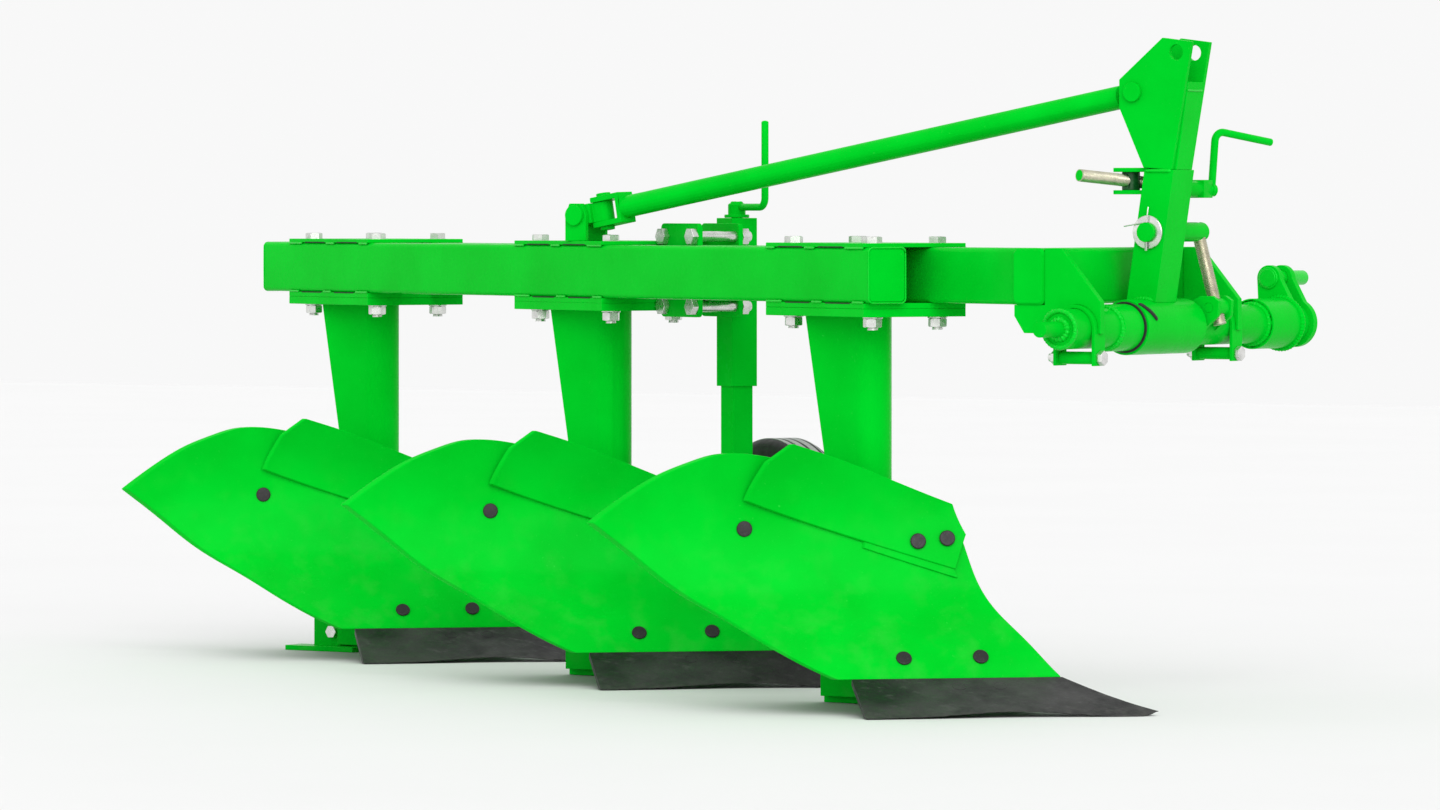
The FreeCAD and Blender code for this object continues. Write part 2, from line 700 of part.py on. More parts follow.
bolt_solids, drills, pads = [], [], []
bolt_radius = size.plough_bolt_radius.value
nut_high = size.plough_nut_high.value
spots = [(board_blank, share, board) for share in board_bolt_shares]
spots += [(trash_blank, share, trash) for share in trash_bolt_shares]
for blank, (y_share, z_share), front_shape in spots:
    y, z = y_share * size.board_reach.value, z_share * size.board_high.value
    spot, normal = surface_spot(blank, y, z), outward(blank, y, z)
    line = Part.makeLine(spot + normal, spot - normal * size.board_high.value / 2)
    sideways = normal.cross(UP)
    sideways.normalize()
    rim = size.plough_nut.value / math.sqrt(3)
    depths, rises = [], []
    for step in range(RIM_RAYS + 1):
        turned = math.tau * step / RIM_RAYS
        aside = sideways * math.cos(turned) + normal.cross(sideways) * math.sin(turned)
        under_head = line.translated(aside * size.plough_head_radius.value)
        rises += [(v.Point - spot).dot(normal) for v in under_head.common(front_shape).Vertexes]
        ray = line.translated(aside * rim if step < RIM_RAYS else FreeCAD.Vector())
        for stacked in (front_shape, board, wing_seat):
            depths += [(spot - v.Point).dot(normal) for v in ray.common(stacked).Vertexes]
    grip = max(depths) + clear / 2
    on_seat = len(line.common(wing_seat).Vertexes) > 0
    if not on_seat:
        pad_start = spot - normal * (grip + clear)
        pad = Part.makeCylinder(size.stay_pad_radius.value, size.stay_pad_thick.value,
                                pad_start, -normal)
        foot = FreeCAD.Vector(-stay_foot_x.value, -size.landside_thick.value,
                              size.stay_foot_z.value)
        grip += clear + size.stay_pad_thick.value
        pad_back = spot - normal * grip
        side = foot - pad_back
        side -= normal * side.dot(normal)
        side.normalize()
        rod_start = pad_back + side * (size.stay_pad_radius.value * pad_hold_share)
        way = foot - rod_start
        stay_rod = Part.makeCylinder(size.stay_radius.value, way.Length, rod_start, way)
        pads.append((pad, stay_rod))
    head_seat = spot + normal * max(rises)
    head = Part.makeCylinder(size.plough_head_radius.value, size.plough_head_high.value,
                             head_seat, normal)
    head = head.makeFillet(size.plough_head_high.value * head_round_share, [head.Edges[0]])
    long = grip + nut_high + size.bolt_end.value
    shank = Part.makeCylinder(bolt_radius, long + max(rises), head_seat, -normal)
    nut = hexagon_solid(spot - normal * grip, -normal, size.plough_nut.value, nut_high)
    bolt_solids += [head.fuse(shank).removeSplitter(), nut.cut(shank)]
    drill_radius = bolt_radius + size.hole_clear.value
    drills.append(Part.makeCylinder(drill_radius, long * 2, spot + normal * long / 2, -normal))

drill = in_code(Part.Compound(drills), "plough_drills")
board_blank_thing = in_code(board, "board_blank")
trash_blank_thing = in_code(trash, "trash_blank")
body_copies(cut(board_blank_thing, drill), "mouldboard")
body_copies(cut(trash_blank_thing, drill), "trash_board")

plough_sets = []
for number in range(BODIES):
    one_set = group([in_code(solid, "plough_bolt") for solid in bolt_solids])
    move(one_set, -size.step_back * number, size.step_side * number, 0)
    plough_sets.append(one_set)
piece(group(plough_sets), "plough_bolts", body_x, body_y)

# Share: a sloping strip, ground off level with the floor and flush with the landside
edge_way = math.radians(size.share_angle.value)
lift = math.radians(size.share_lift.value)
along_edge = FreeCAD.Vector(-math.cos(edge_way), -math.sin(edge_way), 0)
up_slope = FreeCAD.Vector(-math.sin(edge_way) * math.cos(lift),
                          math.cos(edge_way) * math.cos(lift), math.sin(lift))
inward = along_edge.cross(up_slope)
share_turn = FreeCAD.Rotation(along_edge, up_slope, inward, "XYZ")
flush_value = math.cos(lift) / math.tan(edge_way)
flush = Size(flush_value, "(cos(sizes.share_lift * 1 deg) / tan(sizes.share_angle * 1 deg))")


def on_share(thing, along, up, depth):
    """Place a child thing in the sloping plane of the share."""
    spot = along_edge * along.value + up_slope * up.value + inward * depth.value
    thing.Placement = FreeCAD.Placement(spot, share_turn)
    return thing


bow_points = [(size.share_long * a, size.share_bow * b) for a, b in share_edge_shares]
strip = plate("XY", [(0, 0)] + bow_points[::-1] + [
    (size.share_long, 0), (size.share_long, size.share_wide),
    (size.share_wide * flush, size.share_wide)], size.share_thick)
on_share(strip, as_size(0), as_size(0), size.share_thick / 2)
room = box(-size.share_long * 2, -size.share_long * 2, 0, size.share_long * 4,
           size.share_long * 2, size.share_long)
body_copies(common(strip, room), "share")

# Frog: side plate, top plate under the leg, seats for the share and the board
frog_side = plate("XZ", [
    (-frog_rear, size.frog_low), (-size.frog_foot_front, size.frog_low),
    (-size.frog_foot_front, size.frog_foot_top), (-size.frog_waist, size.frog_foot_top),
    (-size.frog_waist, size.wing_seat_low),
    *[(-on_shin(back), size.board_high * high) for back, high in frog_shin_shares],
    (-on_shin(frog_top_share), size.leg_low - size.frog_top_thick),
    (-frog_top_rear, size.leg_low - size.frog_top_thick),
    (-frog_rear, size.frog_heel)], size.frog_thick)
move(frog_side, 0, -size.landside_thick - size.frog_thick / 2, 0)
frog_top = box(-frog_top_rear, -size.leg_radius * 2, size.leg_low - size.frog_top_thick,
               frog_top_rear - frog_top_front, size.leg_radius * 2,
               size.frog_top_thick)
share_seat = box(0, 0, 0, size.share_seat_long, size.share_seat_to - size.share_seat_from,
                 size.share_seat_thick)
for prop in ("Placement.Base.x", "Placement.Base.y", "Placement.Base.z"):
    share_seat.setExpression(prop, None)
on_share(share_seat, size.share_seat_start, size.share_seat_from, size.share_thick)
seat_room = box(-size.share_long * 2, -size.share_long * 2, 0, size.share_long * 4,
                size.share_long * 2 - size.landside_thick, size.share_long)
frog = cut(fuse(frog_side, frog_top, common(share_seat, seat_room),
                in_code(wing_seat, "wing_seat")), drill)
body_copies(frog, "frog")

landsides = []
for number, landside_rear in enumerate(landside_rears):
    landside = plate("XZ", [
        (-landside_rear, 0), (-size.landside_front, 0),
        (-size.landside_front - size.landside_rake, size.landside_high),
        (-landside_rear, size.landside_high)], size.landside_thick)
    move(landside, -size.step_back * number,
         size.step_side * number - size.landside_thick / 2, 0)
    landsides.append(landside)
piece(group(landsides), "landsides", body_x, body_y)

foot_low = box(-foot_rear, -size.landside_thick - size.foot_wide, 0, size.foot_long,
               size.foot_wide, size.foot_thick)
foot_leaf = box(-foot_leaf_rear, -size.landside_thick - size.foot_thick, 0,
                size.foot_leaf_long, size.foot_thick, size.foot_leaf_high)
foot_head = hexagon("Y", size.strap_head, -foot_bolt_x,
                    -size.landside_thick - size.foot_thick - size.strap_head_high,
                    size.foot_bolt_z, size.strap_head_high)
foot_bolt = fuse(foot_head, rod("Y", size.plough_bolt_radius, -foot_bolt_x,
                                -size.landside_thick - size.foot_thick, size.foot_bolt_z,
                                size.foot_thick))
foot_hole = rod("Y", size.plough_bolt_radius, -foot_bolt_x,
                -size.landside_thick - size.foot_wide, size.foot_bolt_z, size.foot_wide * 2)
last_x = body_x - size.step_back * (BODIES - 1)
last_y = body_y + size.step_side * (BODIES - 1)
piece(cut(fuse(foot_low, foot_leaf), foot_hole), "heel_foot", last_x, last_y)
piece(group([foot_bolt]), "heel_bolt", last_x, last_y)

# Stays from the frog to the wing of each board
stay_sets = []
keep = Part.makeBox(size.share_long.value * 4, size.share_long.value * 2, size.share_long.value * 2,
                    FreeCAD.Vector(-size.share_long.value * 3,
                                   -size.landside_thick.value - size.frog_thick.value, 0))
pad, stay_rod = pads[0]
stay_solid = pad.fuse(stay_rod).cut([keep] + drills)
for number in range(BODIES):
    one_stay = in_code(stay_solid, "stay")
    move(one_stay, -size.step_back * number, size.step_side * number, 0)
    stay_sets.append(one_stay)
piece(group(stay_sets), "mouldboard_stays", body_x, body_y)

# Hitch axle, level with the cross beam's underside
axle = rod("Y", size.axle_radius, 0, -size.axle_right, size.axle_high,
           size.axle_right + size.axle_left)
disc = rod("Y", size.disc_radius, 0, size.disc_at, size.axle_high, size.disc_thick)
collar = rod("Y", size.collar_radius, 0, -size.collar_at, size.axle_high, size.collar_long)
ears = []
ear_high = size.axle_high + size.ear_z
ear_points = [(size.ear_radius * x_share, size.axle_high + size.axle_radius * z_share)
              for x_share, z_share in ear_root_shares]
ear_points += [(size.ear_x + size.ear_radius * x_share, ear_high + size.ear_radius * z_share)
               for x_share, z_share in ear_nose_shares]
for start in (size.ear_at, size.ear_at + size.ear_thick + size.ear_gap):
    ear = plate("XZ", ear_points, size.ear_thick)
    move(ear, 0, start + size.ear_thick / 2, 0)
    ears.append(ear)
ear_hole = rod("Y", size.trunnion_radius + size.run_clear, size.ear_x, 0, ear_high, size.axle_left)
piece(cut(fuse(axle, disc, collar, *ears), ear_hole), "cross_axle")


def crank_plate(hole_radius):
    """A plate round the axle and the offset pin."""
    root_disc = rod("Y", size.crank_root_radius, 0, 0, size.axle_high, size.crank_thick)
    nose_disc = rod("Y", size.crank_nose_radius, -size.crank_back, 0,
                    size.axle_high + size.crank_rise, size.crank_thick)
    web = plate("XZ", [
        (-size.crank_root_radius, size.axle_high),
        (size.crank_root_radius, size.axle_high),
        (size.crank_nose_radius - size.crank_back, size.axle_high + size.crank_rise),
        (-size.crank_nose_radius - size.crank_back, size.axle_high + size.crank_rise)],
        size.crank_thick)
    move(web, 0, size.crank_thick / 2, 0)
    form = fuse(root_disc, nose_disc, web)
    bores = [rod("Y", size.pin_held_radius, -size.crank_back, -size.overrun,
                 size.axle_high + size.crank_rise, size.overrun * 3)]
    if hole_radius is not None:
        bores.append(rod("Y", hole_radius, 0, -size.overrun, size.axle_high, size.overrun * 3))
    return cut(form, *bores)


inner_plate = crank_plate(size.axle_radius)
move(inner_plate, 0, size.crank_inner, 0)
outer_plate = crank_plate(None)
outer_at = size.crank_inner + size.crank_thick + size.crank_gap
move(outer_plate, 0, outer_at, 0)
piece(group([inner_plate, outer_plate]), "axle_crank")

pin_shoulder = outer_at + size.crank_thick
pin_start = size.crank_inner - size.pin_nut_high
pin_high = size.axle_high + size.crank_rise
left_pin = fuse(
    rod("Y", size.pin_held_radius, -size.crank_back, pin_start, pin_high,
        pin_shoulder - pin_start),
    rod("Y", size.pin_radius, -size.crank_back, pin_shoulder, pin_high, size.pin_long))
left_nut = hexagon("Y", size.pin_nut, -size.crank_back, pin_start, pin_high, size.pin_nut_high)
left_bore = rod("Y", size.pin_held_radius, -size.crank_back, pin_start - size.overrun, pin_high,
                size.overrun * 3)
piece(group([left_pin, cut(left_nut, left_bore)]), "hitch_pin_left")
piece(group([rod("Y", size.pin_radius, 0, -size.axle_right - size.pin_long, size.axle_high,
                 size.pin_long)]), "hitch_pin_right")

# Sleeve that the axle turns in, with its seal
sleeve_long = size.sleeve_right + size.sleeve_left
sleeve_tube = rod("Y", size.sleeve_radius, 0, -size.sleeve_right, size.axle_high, sleeve_long)
axle_room = rod("Y", size.axle_radius + size.run_clear, 0, -size.axle_right, size.axle_high,
                size.axle_right * 2)
piece(cut(sleeve_tube, axle_room), "mast_sleeve")
seal = rod("Y", size.seal_radius, 0, -size.sleeve_right - size.seal_thick, size.axle_high,
           size.seal_thick)
piece(cut(seal, rod("Y", size.axle_radius + size.run_clear, 0, -size.axle_right, size.axle_high,
                    size.axle_right * 2)), "sleeve_seal")

# Brackets on the cross beam and the straps that hold the axle in them
strap_inner = size.axle_radius + size.strap_clear
strap_outer = strap_inner + size.strap_thick
for label, side in (("bracket_right", -1), ("bracket_left", 1)):
    bracket = plate("XZ", [
        (-size.cross_front, beam_top), (-size.cross_front / 2, beam_top),
        (size.bracket_nose, size.bracket_shoulder), (size.bracket_nose, size.bracket_low),
        (-cross_rear + size.bracket_tail / 2, size.bracket_low),
        (-cross_rear, size.beam_low - size.bracket_tail / 2),
        (-cross_rear, size.beam_low), (-size.cross_front, size.beam_low)], size.bracket_thick)
    arch = rod("Y", strap_outer, 0, -size.bracket_thick, size.axle_high, size.bracket_thick * 2)
    slot = box(-strap_outer, -size.bracket_thick, size.axle_high - size.overrun * 2,
               strap_outer * 2, size.bracket_thick * 2, size.overrun * 2)
    piece(cut(bracket, arch, slot), label, 0, size.bracket_at * side)

straps, strap_bolts = [], []
for side in (-1, 1):
    middle = size.bracket_at * side
    start = middle - size.strap_wide / 2
    leg_long = size.axle_high - size.strap_low
    outer = fuse(rod("Y", strap_outer, 0, start, size.axle_high, size.strap_wide),
                 box(-strap_outer, start, size.strap_low, strap_outer * 2, size.strap_wide,
                     leg_long))
    inner = fuse(rod("Y", strap_inner, 0, start - size.overrun, size.axle_high,
                     size.strap_wide + size.overrun * 2),
                 box(-strap_inner, start - size.overrun, size.strap_low - size.overrun,
                     strap_inner * 2, size.strap_wide + size.overrun * 2,
                     leg_long + size.overrun))
    drilled = rod("X", size.strap_bolt_radius, -size.cross_long, middle, size.strap_bolt_z,
                  size.cross_long * 2)
    straps.append(cut(outer, inner, drilled))
    strap_bolts += bolt("X", -strap_outer, middle, size.strap_bolt_z, strap_outer * 2,
                        size.strap_bolt_radius, size.strap_head, size.strap_head_high,
                        size.strap_head_high, head_first=False)
    spacer = rod("X", size.spacer_radius, -strap_inner, middle, size.strap_bolt_z,
                 strap_inner * 2)
    spacer_bore = rod("X", size.strap_bolt_radius, -strap_outer, middle, size.strap_bolt_z,
                      strap_outer * 2)
    strap_bolts.append(cut(spacer, spacer_bore))
piece(group(straps), "axle_straps")
piece(group(strap_bolts), "strap_bolts")

# Mast: leaning post with a saddle on the sleeve, and the head plates on its side walls
lean_share = size.mast_lean / (size.mast_top_z - size.mast_foot_z)


def post_at(z, inset=0.0):
    """Rear and front of the post at a height."""
    rear = (as_size(z) - size.mast_foot_z) * lean_share - size.mast_foot_x
    return rear + inset, rear + size.mast_deep - inset


def post_block(low, high, wide, inset):
    """A leaning block that follows the post."""
    low_rear, low_front = post_at(low, inset)
    high_rear, high_front = post_at(high, inset)
    return plate("XZ", [(low_rear, low), (low_front, low), (high_front, high),
                        (high_rear, high)], wide)


post_outer = post_block(size.mast_foot_z, size.mast_top_z, size.mast_wide, as_size(0))
post_inner = post_block(size.mast_foot_z, size.mast_top_z + size.mast_wall,
                        size.mast_wide - size.mast_wall * 2, size.mast_wall)
fork_gap = size.mast_wide - size.head_thick * 2
filler = post_block(size.mast_top_z, size.filler_top, fork_gap, size.mast_wall * 3)
saddle = rod("Y", size.sleeve_radius, 0, -size.mast_wide, size.axle_high, size.mast_wide * 2)
level_bore = rod("Y", size.level_pin_radius + size.run_clear, size.level_x, -size.mast_wide,
                 size.level_z, size.mast_wide * 2)
upper_bore = rod("Y", size.upper_pin_radius, size.upper_x, 0, size.upper_z, size.mast_wide)
shell = fuse(cut(post_outer, post_inner), filler)
piece(cut(shell, saddle, level_bore, upper_bore), "mast_post", 0, size.mast_side)

head_points = []
for x_share, z_share in head_outline_shares:
    head_points.append((size.head_reach * x_share - size.head_reach / 2,
                        size.mast_top_z + size.head_high * z_share))
for label, side in (("mast_plate_right", -1), ("mast_plate_left", 1)):
    head_plate = plate("XZ", head_points, size.head_thick, [
        (size.link_x, size.link_z, size.link_radius),
        (-size.strut_pin_x, size.strut_pin_z, size.strut_pin_radius)])
    piece(head_plate, label, 0,
          size.mast_side + (size.mast_wide / 2 - size.head_thick / 2) * side)

# Strut: rear cross block on the lugs, clevis, bar and front tongue in the mast head
strut_run = root((size.strut_back - size.strut_pin_x) * (size.strut_back - size.strut_pin_x)
                 + (size.strut_pin_z - size.strut_low_z) * (size.strut_pin_z - size.strut_low_z))
rise_share = (size.strut_pin_z - size.strut_low_z) / strut_run
level_share = (size.strut_back - size.strut_pin_x) / strut_run
strut_in = size.strut_side - size.mast_side
swing_run = strut_run - size.block_reach
strut_long = root(swing_run * swing_run + strut_in * strut_in)
block_way = FreeCAD.Vector(level_share.value, 0, rise_share.value)
block_up = FreeCAD.Vector(-rise_share.value, 0, level_share.value)
strut_way = block_way * swing_run.value - FreeCAD.Vector(0, strut_in.value, 0)
strut_way.normalize()
swing_x = size.block_reach * level_share - size.strut_back
swing_z = size.block_reach * rise_share + size.strut_low_z
block_turn = FreeCAD.Rotation(block_way, FreeCAD.Vector(0, 1, 0), block_up, "XYZ")
strut_turn = FreeCAD.Rotation(strut_way, block_up.cross(strut_way), block_up, "XYZ")


def turned_piece(thing, label, rotation, x, y, z):
    """Name a finished piece made in a turned frame and place it."""
    thing.Placement = FreeCAD.Placement(FreeCAD.Vector(), rotation)
    return piece(thing, label, x, y, z)


half_gap = size.block_high / 2 + size.lug_clear
clevis_high = half_gap * 2 + size.clevis_thick * 2
clevis = box(-size.clevis_tail, -size.clevis_wide / 2, -clevis_high / 2,
             size.clevis_long + size.clevis_tail, size.clevis_wide, clevis_high)
clevis_room = box(-size.clevis_tail - size.overrun, -size.clevis_wide, -half_gap,
                  size.clevis_long + size.clevis_tail + size.overrun - size.clevis_thick,
                  size.clevis_wide * 2, half_gap * 2)
bar = rod("X", size.strut_radius, size.clevis_long - size.clevis_thick / 2, 0, 0,
          strut_long - size.clevis_long - size.tongue_long)
tongue = box(strut_long - size.tongue_long - size.clevis_thick * 2, -size.tongue_thick / 2,
             -size.tongue_high / 2, size.tongue_long + size.clevis_thick * 2,
             size.tongue_thick, size.tongue_high)
eye = rod("Y", size.eye_radius, strut_long, -size.tongue_thick / 2, 0, size.tongue_thick)
eye_bore = rod("Y", size.strut_pin_radius + size.eye_clear, strut_long, -size.tongue_thick, 0,
               size.tongue_thick * 2)
cross_bore = rod("Z", size.cross_pin_radius, 0, 0, -clevis_high, clevis_high * 2)
strut_form = cut(fuse(cut(clevis, clevis_room), bar, tongue, eye), eye_bore, cross_bore)
turned_piece(strut_form, "strut", strut_turn, swing_x, size.strut_side, swing_z)

block_wide = size.lug_gap - size.lug_clear * 2
block = box(-size.block_tail, -block_wide / 2, -size.block_high / 2,
            size.block_tail + size.block_reach - size.clevis_tail, block_wide, size.block_high)
nose = rod("Z", size.block_nose / 4, size.block_reach, 0, -size.block_high / 2, size.block_high)
neck = box(0, -size.block_nose / 4, -size.block_high / 2, size.block_reach,
           size.block_nose / 2, size.block_high)
rear_bore = rod("Y", size.rear_pin_radius, 0, -size.lug_gap, 0, size.lug_gap * 2)
block_bore = rod("Z", size.cross_pin_radius, size.block_reach, 0, -size.block_high,
                 size.block_high * 2)
block_form = cut(fuse(block, nose, neck), rear_bore, block_bore)
turned_piece(block_form, "strut_cross_block", block_turn, -size.strut_back, size.strut_side,
             size.strut_low_z)


def headed_pin(axis, radius, head_radius, head_high, x, y, z, grip):
    """A pin with a round head at each end of its grip, which starts at x, y, z."""
    steps = {"X": (1, 0, 0), "Y": (0, 1, 0), "Z": (0, 0, 1)}[axis]
    low = [start - head_high * step for start, step in zip((x, y, z), steps)]
    high = [start + grip * step for start, step in zip((x, y, z), steps)]
    return fuse(rod(axis, radius, x, y, z, grip), rod(axis, head_radius, *low, head_high),
                rod(axis, head_radius, *high, head_high))


lug_pin_start = size.strut_side - size.lug_gap / 2 - size.lug_thick
lug_pin = headed_pin("Y", size.rear_pin_radius, size.rear_head_radius, size.strut_head_high,
                     -size.strut_back, lug_pin_start, size.strut_low_z,
                     size.lug_gap + size.lug_thick * 2)
head_pin = headed_pin("Y", size.strut_pin_radius, size.strut_head_radius, size.strut_head_high,
                      -size.strut_pin_x, size.mast_side - size.mast_wide / 2,
                      size.strut_pin_z, size.mast_wide)
swing_pin = headed_pin("Z", size.cross_pin_radius, size.cross_head_radius,
                       size.cross_head_high, 0, 0, -clevis_high / 2, clevis_high)
swing_pin.Placement = FreeCAD.Placement(FreeCAD.Vector(), strut_turn)
move(swing_pin, swing_x, size.strut_side, swing_z)
piece(group([lug_pin, head_pin, swing_pin]), "strut_pins")

lugs = []
lug_foot = beam_top + size.plate_thick
lug_half = size.lug_wide / 2
for side in (-1, 1):
    lug = plate("XZ", [
        (-lug_half, lug_foot), (lug_half, lug_foot), (lug_half, size.strut_low_z),
        (lug_half * lug_top_share, size.strut_low_z + size.lug_rise),
        (-lug_half * lug_top_share, size.strut_low_z + size.lug_rise),
        (-lug_half, size.strut_low_z)], size.lug_thick,
        [(0, size.strut_low_z, size.rear_pin_radius)])
    move(lug, -size.strut_back,
         size.strut_side + (size.lug_gap + size.lug_thick) / 2 * side, 0)
    lugs.append(lug)
piece(group(lugs), "strut_lugs")

# Levelling screw: it hangs from the pin through the mast and its nut sits in the axle's ears
screw_fall = size.level_z - ear_high
screw_lean = size.ear_x - size.level_x
hang = root(screw_fall * screw_fall + screw_lean * screw_lean)
hang_turn = FreeCAD.Rotation(
    FreeCAD.Vector(0, -1, 0), math.degrees(math.atan2(screw_lean.value, screw_fall.value)))


def hung(thing, rotation=hang_turn):
    """Place a child thing on the axis of the levelling screw."""
    thing.Placement = FreeCAD.Placement(FreeCAD.Vector(), rotation)
    move(thing, size.level_x, size.level_at, size.level_z)
    return thing


pin_body = rod("Y", size.level_pin_radius, size.level_x, -size.level_from, size.level_z,
               size.level_from + size.level_to)
screw_path = group([rod("Z", size.level_screw_radius, 0, 0, -hang, hang * 2)])
hung(screw_path)
washer_start = size.mast_side - size.mast_wide / 2 - size.level_washer_thick
split_at = washer_start - size.split_radius * split_off_share
split_path = rod("Z", size.split_radius, size.level_x, split_at,
                 size.level_z - size.level_washer_radius, size.level_washer_radius * 2)
piece(cut(pin_body, screw_path, split_path), "level_pin")

hanging = fuse(
    rod("Z", size.level_screw_radius, 0, 0, -hang - size.level_run,
        hang + size.level_run + size.level_pin_radius),
    hexagon("Z", size.bolt_head, 0, 0, size.level_pin_radius, size.nut_high))
turned_piece(hanging, "level_screw", hang_turn, size.level_x, size.level_at, size.level_z)

washer = cut(rod("Y", size.level_washer_radius, size.level_x, washer_start, size.level_z,
                 size.level_washer_thick),
             rod("Y", size.level_pin_radius, size.level_x, washer_start - size.overrun,
                 size.level_z, size.overrun * 2))
split_pin = rod("Z", size.split_radius, size.level_x, split_at,
                size.level_z - size.level_pin_radius - size.split_reach,
                (size.level_pin_radius + size.split_reach) * 2)
piece(group([washer, split_pin]), "pin_fastenings")

nut_side = size.ear_gap / 2 - size.lug_clear
nut_body = fuse(
    rod("Y", size.level_nut_radius, size.ear_x, size.level_at - nut_side, ear_high,
        nut_side * 2),
    rod("Y", size.trunnion_radius, size.ear_x, size.ear_at, ear_high,
        size.ear_gap + size.ear_thick * 2))
nut_path = group([rod("Z", size.level_screw_radius + size.nut_clear, 0, 0, -hang * 2,
                      hang * 3)])
hung(nut_path)
piece(cut(nut_body, nut_path), "level_nut")

# Upper screw: it turns in the swivel nut behind the mast and runs through the pin's eye
eye_spot = FreeCAD.Vector(size.upper_x.value, size.upper_at.value, size.upper_z.value)
nut_spot = FreeCAD.Vector(-size.swivel_x.value, size.mast_side.value, size.swivel_z.value)
screw_way = eye_spot - nut_spot
screw_span = Size(screw_way.Length, "sqrt((%s)^2 + (%s)^2 + (%s)^2)" % (
    (size.upper_x + size.swivel_x).formula, (size.upper_at - size.mast_side).formula,
    (size.upper_z - size.swivel_z).formula))
screw_way.normalize()
arm_way = UP - screw_way * UP.dot(screw_way)
arm_way.normalize()
screw_turn = FreeCAD.Rotation(arm_way, screw_way.cross(arm_way), screw_way, "XYZ")


def ball(radius, x, y, z):
    """A round corner between two bars."""
    thing = doc.addObject("Part::Sphere", "ball")
    bind(thing, "Radius", radius)
    move(thing, x, y, z)
    return thing


def on_screw(thing):
    """Place a child thing on the axis of the upper screw."""
    thing.Placement = FreeCAD.Placement(FreeCAD.Vector(), screw_turn)
    move(thing, size.upper_x, size.upper_at, size.upper_z)
    return thing


rod_radius = size.crank_rod_radius
upper_form = fuse(
    rod("Z", size.upper_screw_radius, 0, 0, -screw_span - size.screw_beyond,
        screw_span + size.screw_beyond + size.upper_crank_off + rod_radius),
    rod("X", rod_radius, 0, 0, size.upper_crank_off, size.upper_crank_arm),
    ball(rod_radius, size.upper_crank_arm, 0, size.upper_crank_off),
    rod("Z", rod_radius, size.upper_crank_arm, 0, size.upper_crank_off, size.upper_grip))
turned_piece(upper_form, "upper_screw", screw_turn, size.upper_x, size.upper_at, size.upper_z)

collar_ring = cut(
    rod("Z", size.upper_collar_radius, 0, 0, -size.upper_collar_at, size.upper_collar_thick),
    rod("Z", size.upper_screw_radius + size.run_clear, 0, 0, -screw_span * 2, screw_span * 2))
turned_piece(collar_ring, "screw_collar", screw_turn, size.upper_x, size.upper_at,
             size.upper_z)

eye_half = size.eye_block_wide / 2
eye_block = box(size.upper_x - size.eye_block_long / 2, size.upper_at - eye_half,
                size.upper_z - size.eye_block_long / 2, size.eye_block_long,
                size.eye_block_wide, size.eye_block_long)
upper_pin = rod("Y", size.upper_pin_radius, size.upper_x, size.mast_side, size.upper_z,
                size.upper_at - size.mast_side)
eye_path = on_screw(group([rod("Z", size.upper_screw_radius + size.thread_clear, 0, 0,
                               -screw_span / 2, screw_span)]))
piece(cut(fuse(upper_pin, eye_block), eye_path), "screw_pin")

half_high = size.swivel_high / 2
swivel_body = fuse(
    rod("Z", size.swivel_radius, -size.swivel_x, size.mast_side, size.swivel_z - half_high,
        size.swivel_high),
    rod("Z", size.swivel_pin_radius, -size.swivel_x, size.mast_side,
        size.swivel_z - half_high - size.swivel_ear_thick,
        size.swivel_high + size.swivel_ear_thick * 2))
swivel_path = on_screw(group([rod("Z", size.upper_screw_radius + size.thread_clear, 0, 0,
                                  -screw_span * 2, screw_span * 2)]))
piece(cut(swivel_body, swivel_path), "swivel_nut")

ear_plates = []
for low in (-half_high - size.swivel_ear_thick, half_high):
    blank = box(-size.swivel_ear_back, size.mast_side - size.swivel_ear_wide / 2,
                size.swivel_z + low, size.swivel_ear_back + size.mast_deep / 2,
                size.swivel_ear_wide, size.swivel_ear_thick)
    post_room = post_block(size.mast_foot_z, size.mast_top_z + size.mast_wall,
                           size.mast_wide * 2, as_size(0))
    move(post_room, 0, size.mast_side, 0)
    ear_plates.append(cut(blank, post_room,
                          rod("Z", size.swivel_pin_radius, -size.swivel_x, size.mast_side,
                              size.swivel_z - size.swivel_high * 2, size.swivel_high * 4)))
piece(group(ear_plates), "swivel_ears")

# Depth wheel: clamp on the side beam, holder, sliding post, crank and wheel
clamp_mid = -size.clamp_along
clamp_plates = []
clamp_faces = (side_start - size.clamp_thick / 2, frame_wide + size.clamp_thick / 2)
for middle in clamp_faces:
    corners = [(clamp_mid - size.clamp_half, size.clamp_low),
               (clamp_mid + size.clamp_half, size.clamp_low),
               (clamp_mid + size.clamp_half, size.clamp_top),
               (clamp_mid - size.clamp_half, size.clamp_top)]
    spots = [(clamp_mid + size.clamp_bolt_reach * side, high, size.bolt_radius)
             for side in (-1, 1) for high in (size.clamp_bolt_low, size.clamp_bolt_high)]
    clamp_plate = plate("XZ", corners, size.clamp_thick, spots, size.clamp_round)
    move(clamp_plate, 0, middle, 0)
    clamp_plates.append(clamp_plate)
beam_piece(group(clamp_plates), "wheel_clamp")

clamp_bolts = []
for side in (-1, 1):
    for high in (size.clamp_bolt_low, size.clamp_bolt_high):
        clamp_bolts += bolt("Y", clamp_mid + size.clamp_bolt_reach * side,
                            side_start - size.clamp_thick, high,
                            size.beam_wide + size.clamp_thick * 2, size.bolt_radius,
                            size.bolt_head, size.bolt_head_high, size.nut_high)
beam_piece(group(clamp_bolts), "wheel_clamp_bolts")

